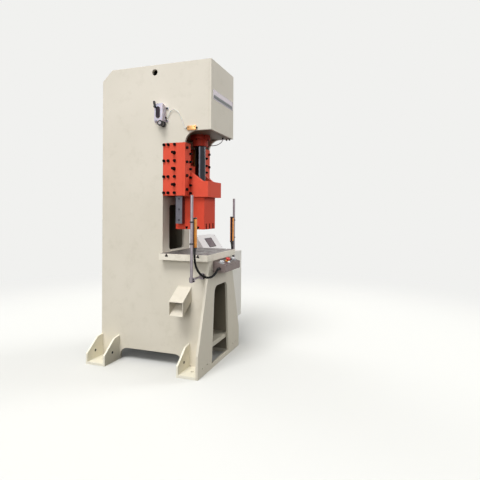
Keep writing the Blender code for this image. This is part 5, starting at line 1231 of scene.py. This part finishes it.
inlet_z = (BLOCK_LOW + BLOCK_HIGH) / 2
middle_x, face_x = SIDE_X - BLOCK_DEPTH / 2, SIDE_X - BLOCK_DEPTH
body = block(at(face_x, BLOCK_FRONT, BLOCK_LOW), at(SIDE_X, BLOCK_REAR, BLOCK_HIGH), 1.2)
fit(body, "distributor_block", brass, instead_of=["oil_distributor"])
union = joined([hex_nut(6.5, 5), turned(((5, 4), (5, 8), (4, 9.5), (3.6, 13)), sides=24)])
mount = cap_screw(4, 3.5)
pieces = [copies(union, [at(middle_x, BLOCK_REAR, inlet_z)], (0, 1, 0)),
          copies(union, [at(middle_x, BLOCK_FRONT, inlet_z), at(TUBE_X, LUBE_FRONT, 2.048)],
                 FRONT),
          copies(mount, [at(face_x, y, inlet_z + 0.006) for y in (-0.071, -0.015)], OUT)]
fit(joined(pieces), "oil_unions", black_screw)
discard(union, mount)

path = smooth_path([at(TUBE_X, y, z) for y, z in TUBE_POINTS], 5)
tube = round_line("oil_tube", path, 3 * MM, 4)
tube.data.materials.append(white_nylon)
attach(tube, "machine_frame")
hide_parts("oil_line")
print(f"oil tube through {len(path)} points")

# %% [markdown]
# ### Far-side grease line
# A bent steel tube comes down from the head's floor and runs back to the top of the far guide,
# which it greases. It is stiff, so it holds its bends by itself.

# %% Far-side grease line
LINE_X = 0.150
LINE_POINTS = ((0, -0.150, 1.927), (0, -0.150, 1.915), (6, -0.132, 1.893), (18, -0.092, 1.876),
               (32, -0.048, 1.872), (44, -0.004, 1.874), (52, 0.034, 1.868), (54, 0.050, 1.853),
               (54, 0.052, 1.8403))
path = smooth_path([at(LINE_X + x * MM, y, z) for x, y, z in LINE_POINTS], 4)
line = round_line("grease_line", path, 3.5 * MM, 3)
line.data.materials.append(satin_steel)
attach(line, "machine_frame")
nut = hex_nut(8, 10)
places = [at(x, y, head_low.z - 0.4 * MM) for x, y in
          ((LINE_X - 0.001, -0.150), (COLUMN_HALF - 0.012, -0.178), (COLUMN_HALF - 0.012, -0.150))]
fit(copies(nut, places, (0, 0, -1)), "floor_plate_nuts", black_screw)
discard(nut)
print("grease line and nuts under the head")

# %% [markdown]
# ## The head's nameplate
# A long anodised plate is riveted to the head's front. It is left blank here: only its raised
# border and one darker band are drawn, so that it reads as a plate without naming anyone.

# %% Nameplate
low = at(-0.215, head_low.y, 2.184) - mm(0, 1.6, 0)
high = at(0.232, head_low.y, 2.263) + mm(0, 0.4, 0)
BORDER, STEP, RIVET_INSET = 4, 0.6, 7

plate = block(low, high, 0.5)
edit_faces(plate, lambda face: face.normal.y < -0.99 and face.calc_area() > 0.01)
bpy.ops.mesh.inset(thickness=BORDER * MM, depth=0)
bpy.ops.mesh.inset(thickness=STEP * MM, depth=-STEP * MM)
bpy.ops.object.mode_set(mode="OBJECT")
fit(plate, "nameplate_blank", anodised)
band = block(low + mm(12, 0.4, 8), Vector((high.x, low.y, low.z)) + mm(-12, 0.9, 38), 0.1)
fit(band, "nameplate_band", grey)
rivet = turned(((2.4, 0), (2.2, 0.9), (1.4, 1.5), (0.3, 1.7)), sides=16)
inset = RIVET_INSET * MM
places = [Vector((x, low.y, z)) for x in (low.x + inset, high.x - inset)
          for z in (low.z + inset, high.z - inset)]
fit(copies(rivet, places, FRONT), "nameplate_rivets", satin_steel)
discard(rivet)
print("nameplate left blank")

# %% [markdown]
# ## Welds
# The plates are welded along their inside corners, and the beads are left showing under the
# paint where the feet and the parts chute meet the column. A bead is a round line that is buried
# halfway in the corner, with a slow swell along it like the weave of the torch.

# %% Weld beads
BEAD, BEAD_STEP = 4 * MM, 14 * MM
SWELL, WEAVE = 0.13, 2.4
FOOT_BASE, GUSSET, GUSSET_TOP = 0.020, 0.016, 0.198
CHUTE_FRONT, CHUTE_REAR, CHUTE_LOW, CHUTE_HIGH = -0.045, 0.078, 0.546, 0.662
foot_low, foot_high = low_high("foot_front_right")
rear_low, rear_high = low_high("foot_rear_right")
FOOT_WALLS = ((foot_low, foot_high, (foot_high.y - GUSSET, foot_high.y)),
              (rear_low, rear_high, (rear_low.y, rear_low.y + GUSSET, rear_high.y - GUSSET)))


def weld_bead(x, start, end):
    """A bead from one y, z to another on a side plate, its radius swelling along it."""
    start, end = at(x, *start), at(x, *end)
    count = max(3, int((end - start).length / BEAD_STEP))
    path = [start.lerp(end, i / count) for i in range(count + 1)]
    bead = round_line("bead", path, BEAD, 3)
    for i, point in enumerate(bead.data.splines[0].points):
        point.radius = BEAD * (1 + SWELL * math.sin(WEAVE * i))
    bead.data.materials.append(cream)
    pick(bead)
    bpy.ops.object.convert(target="MESH")
    return bpy.context.object


beads = []
for side, sign in SIDES:
    x = sign * COLUMN_HALF
    for low, high, walls in FOOT_WALLS:
        beads.append(weld_bead(x, (low.y + GUSSET, FOOT_BASE), (high.y - GUSSET, FOOT_BASE)))
        beads += [weld_bead(x, (y, FOOT_BASE), (y, GUSSET_TOP)) for y in walls]
corners = ((CHUTE_FRONT, CHUTE_LOW), (CHUTE_FRONT, CHUTE_HIGH), (CHUTE_REAR, CHUTE_HIGH),
           (CHUTE_REAR, CHUTE_LOW))
beads += [weld_bead(-COLUMN_HALF, *ends) for ends in zip(corners, corners[1:])]
fit(joined(beads), "weld_beads", cream)
print(f"{len(beads)} weld beads")

# %% [markdown]
# ## The rear cover and the feet
# The back of the column is closed by a sheet cover, so that the pump can be reached. It is held
# by button head screws down both edges. Each air slot has a pressed hood over it that sheds oil
# and dust: a half-round lip, closed at its ends and open downwards. One hood is modelled from a
# bar with rounded ends, cut away below and hollowed, and copied to the twelve slots. The sling
# holes in the gussets are closed by black rubber plugs.

# %% Rear cover
cover_low, cover_high = low_high("rear_cover")
COVER_SCREW_INSET, COVER_SCREWS = 0.014, 9
BUTTON_HEAD = ((6.5, 0), (6.5, 1), (5.6, 2.6), (3.6, 3.6), (2.6, 3.7), (2.4, 2))

button_screw = turned(BUTTON_HEAD, sides=24)
span = cover_high.z - cover_low.z - 2 * COVER_SCREW_INSET
heights = [cover_low.z + COVER_SCREW_INSET + span * i / (COVER_SCREWS - 1)
           for i in range(COVER_SCREWS)]
places = [at(x, cover_high.y, z) for z in heights
          for x in (cover_low.x + COVER_SCREW_INSET, cover_high.x - COVER_SCREW_INSET)]
places += [at(0, cover_high.y, z) for z in (heights[0], heights[-1])]
fit(copies(button_screw, places, (0, 1, 0)), "cover_screws", black_screw)
discard(button_screw)
print(f"{len(places)} screws on the cover")

# %% Louvre hoods
HOOD_HALF, HOOD, SHEET = 61, 9, 1.5
HOOD_FIRST, HOOD_ROWS, HOOD_PITCH = (0.632, 1.872), 6, 0.034
ALONG, BENCH = (1, 0, 0), at(0, 0, 0)

hood = turned(((2, -HOOD_HALF), (HOOD, -HOOD_HALF + HOOD), (HOOD, HOOD_HALF - HOOD),
               (2, HOOD_HALF)), BENCH, ALONG, 24)
room = turned(((1, -HOOD_HALF + SHEET), (HOOD - SHEET, -HOOD_HALF + HOOD),
               (HOOD - SHEET, HOOD_HALF - HOOD), (1, HOOD_HALF - SHEET)), BENCH, ALONG, 24)
far = 2 * HOOD_HALF
cut_out(hood, room, block_by(BENCH, (-far, -far, -far), (far, 0, far)),
        block_by(BENCH, (-far, -far, -far), (far, far, -0.15 * HOOD)))
hood.data.transform(Matrix.Translation(-BENCH))
places = [at(0, cover_high.y, first + row * HOOD_PITCH)
          for first in HOOD_FIRST for row in range(HOOD_ROWS)]
fit(copies(hood, places), "louvre_hoods", cream)
discard(hood)
print(f"{len(places)} louvre hoods")

# %% Sling hole plugs
SLING_X, SLING_Z = 0.3555, 0.085
plug = turned(((11, -6), (11, 1.2), (9.5, 2), (3, 2.4)), sides=24)
walls = [(foot_high.y - GUSSET, -1), (foot_high.y, 1), (rear_low.y, -1),
         (rear_low.y + GUSSET, 1), (rear_high.y - GUSSET, -1), (rear_high.y, 1)]
plugs = [copies(plug, [at(sign * SLING_X, y, SLING_Z) for side, sign in SIDES], (0, facing, 0))
         for y, facing in walls]
fit(joined(plugs), "sling_hole_plugs", black_plastic)
discard(plug)
print(f"{2 * len(walls)} plug faces")

# %% [markdown]
# ## Finish
# The dressed machine has to stay inside the CAD model's box, but for a few millimetres.

# %% Finish
print("finished")
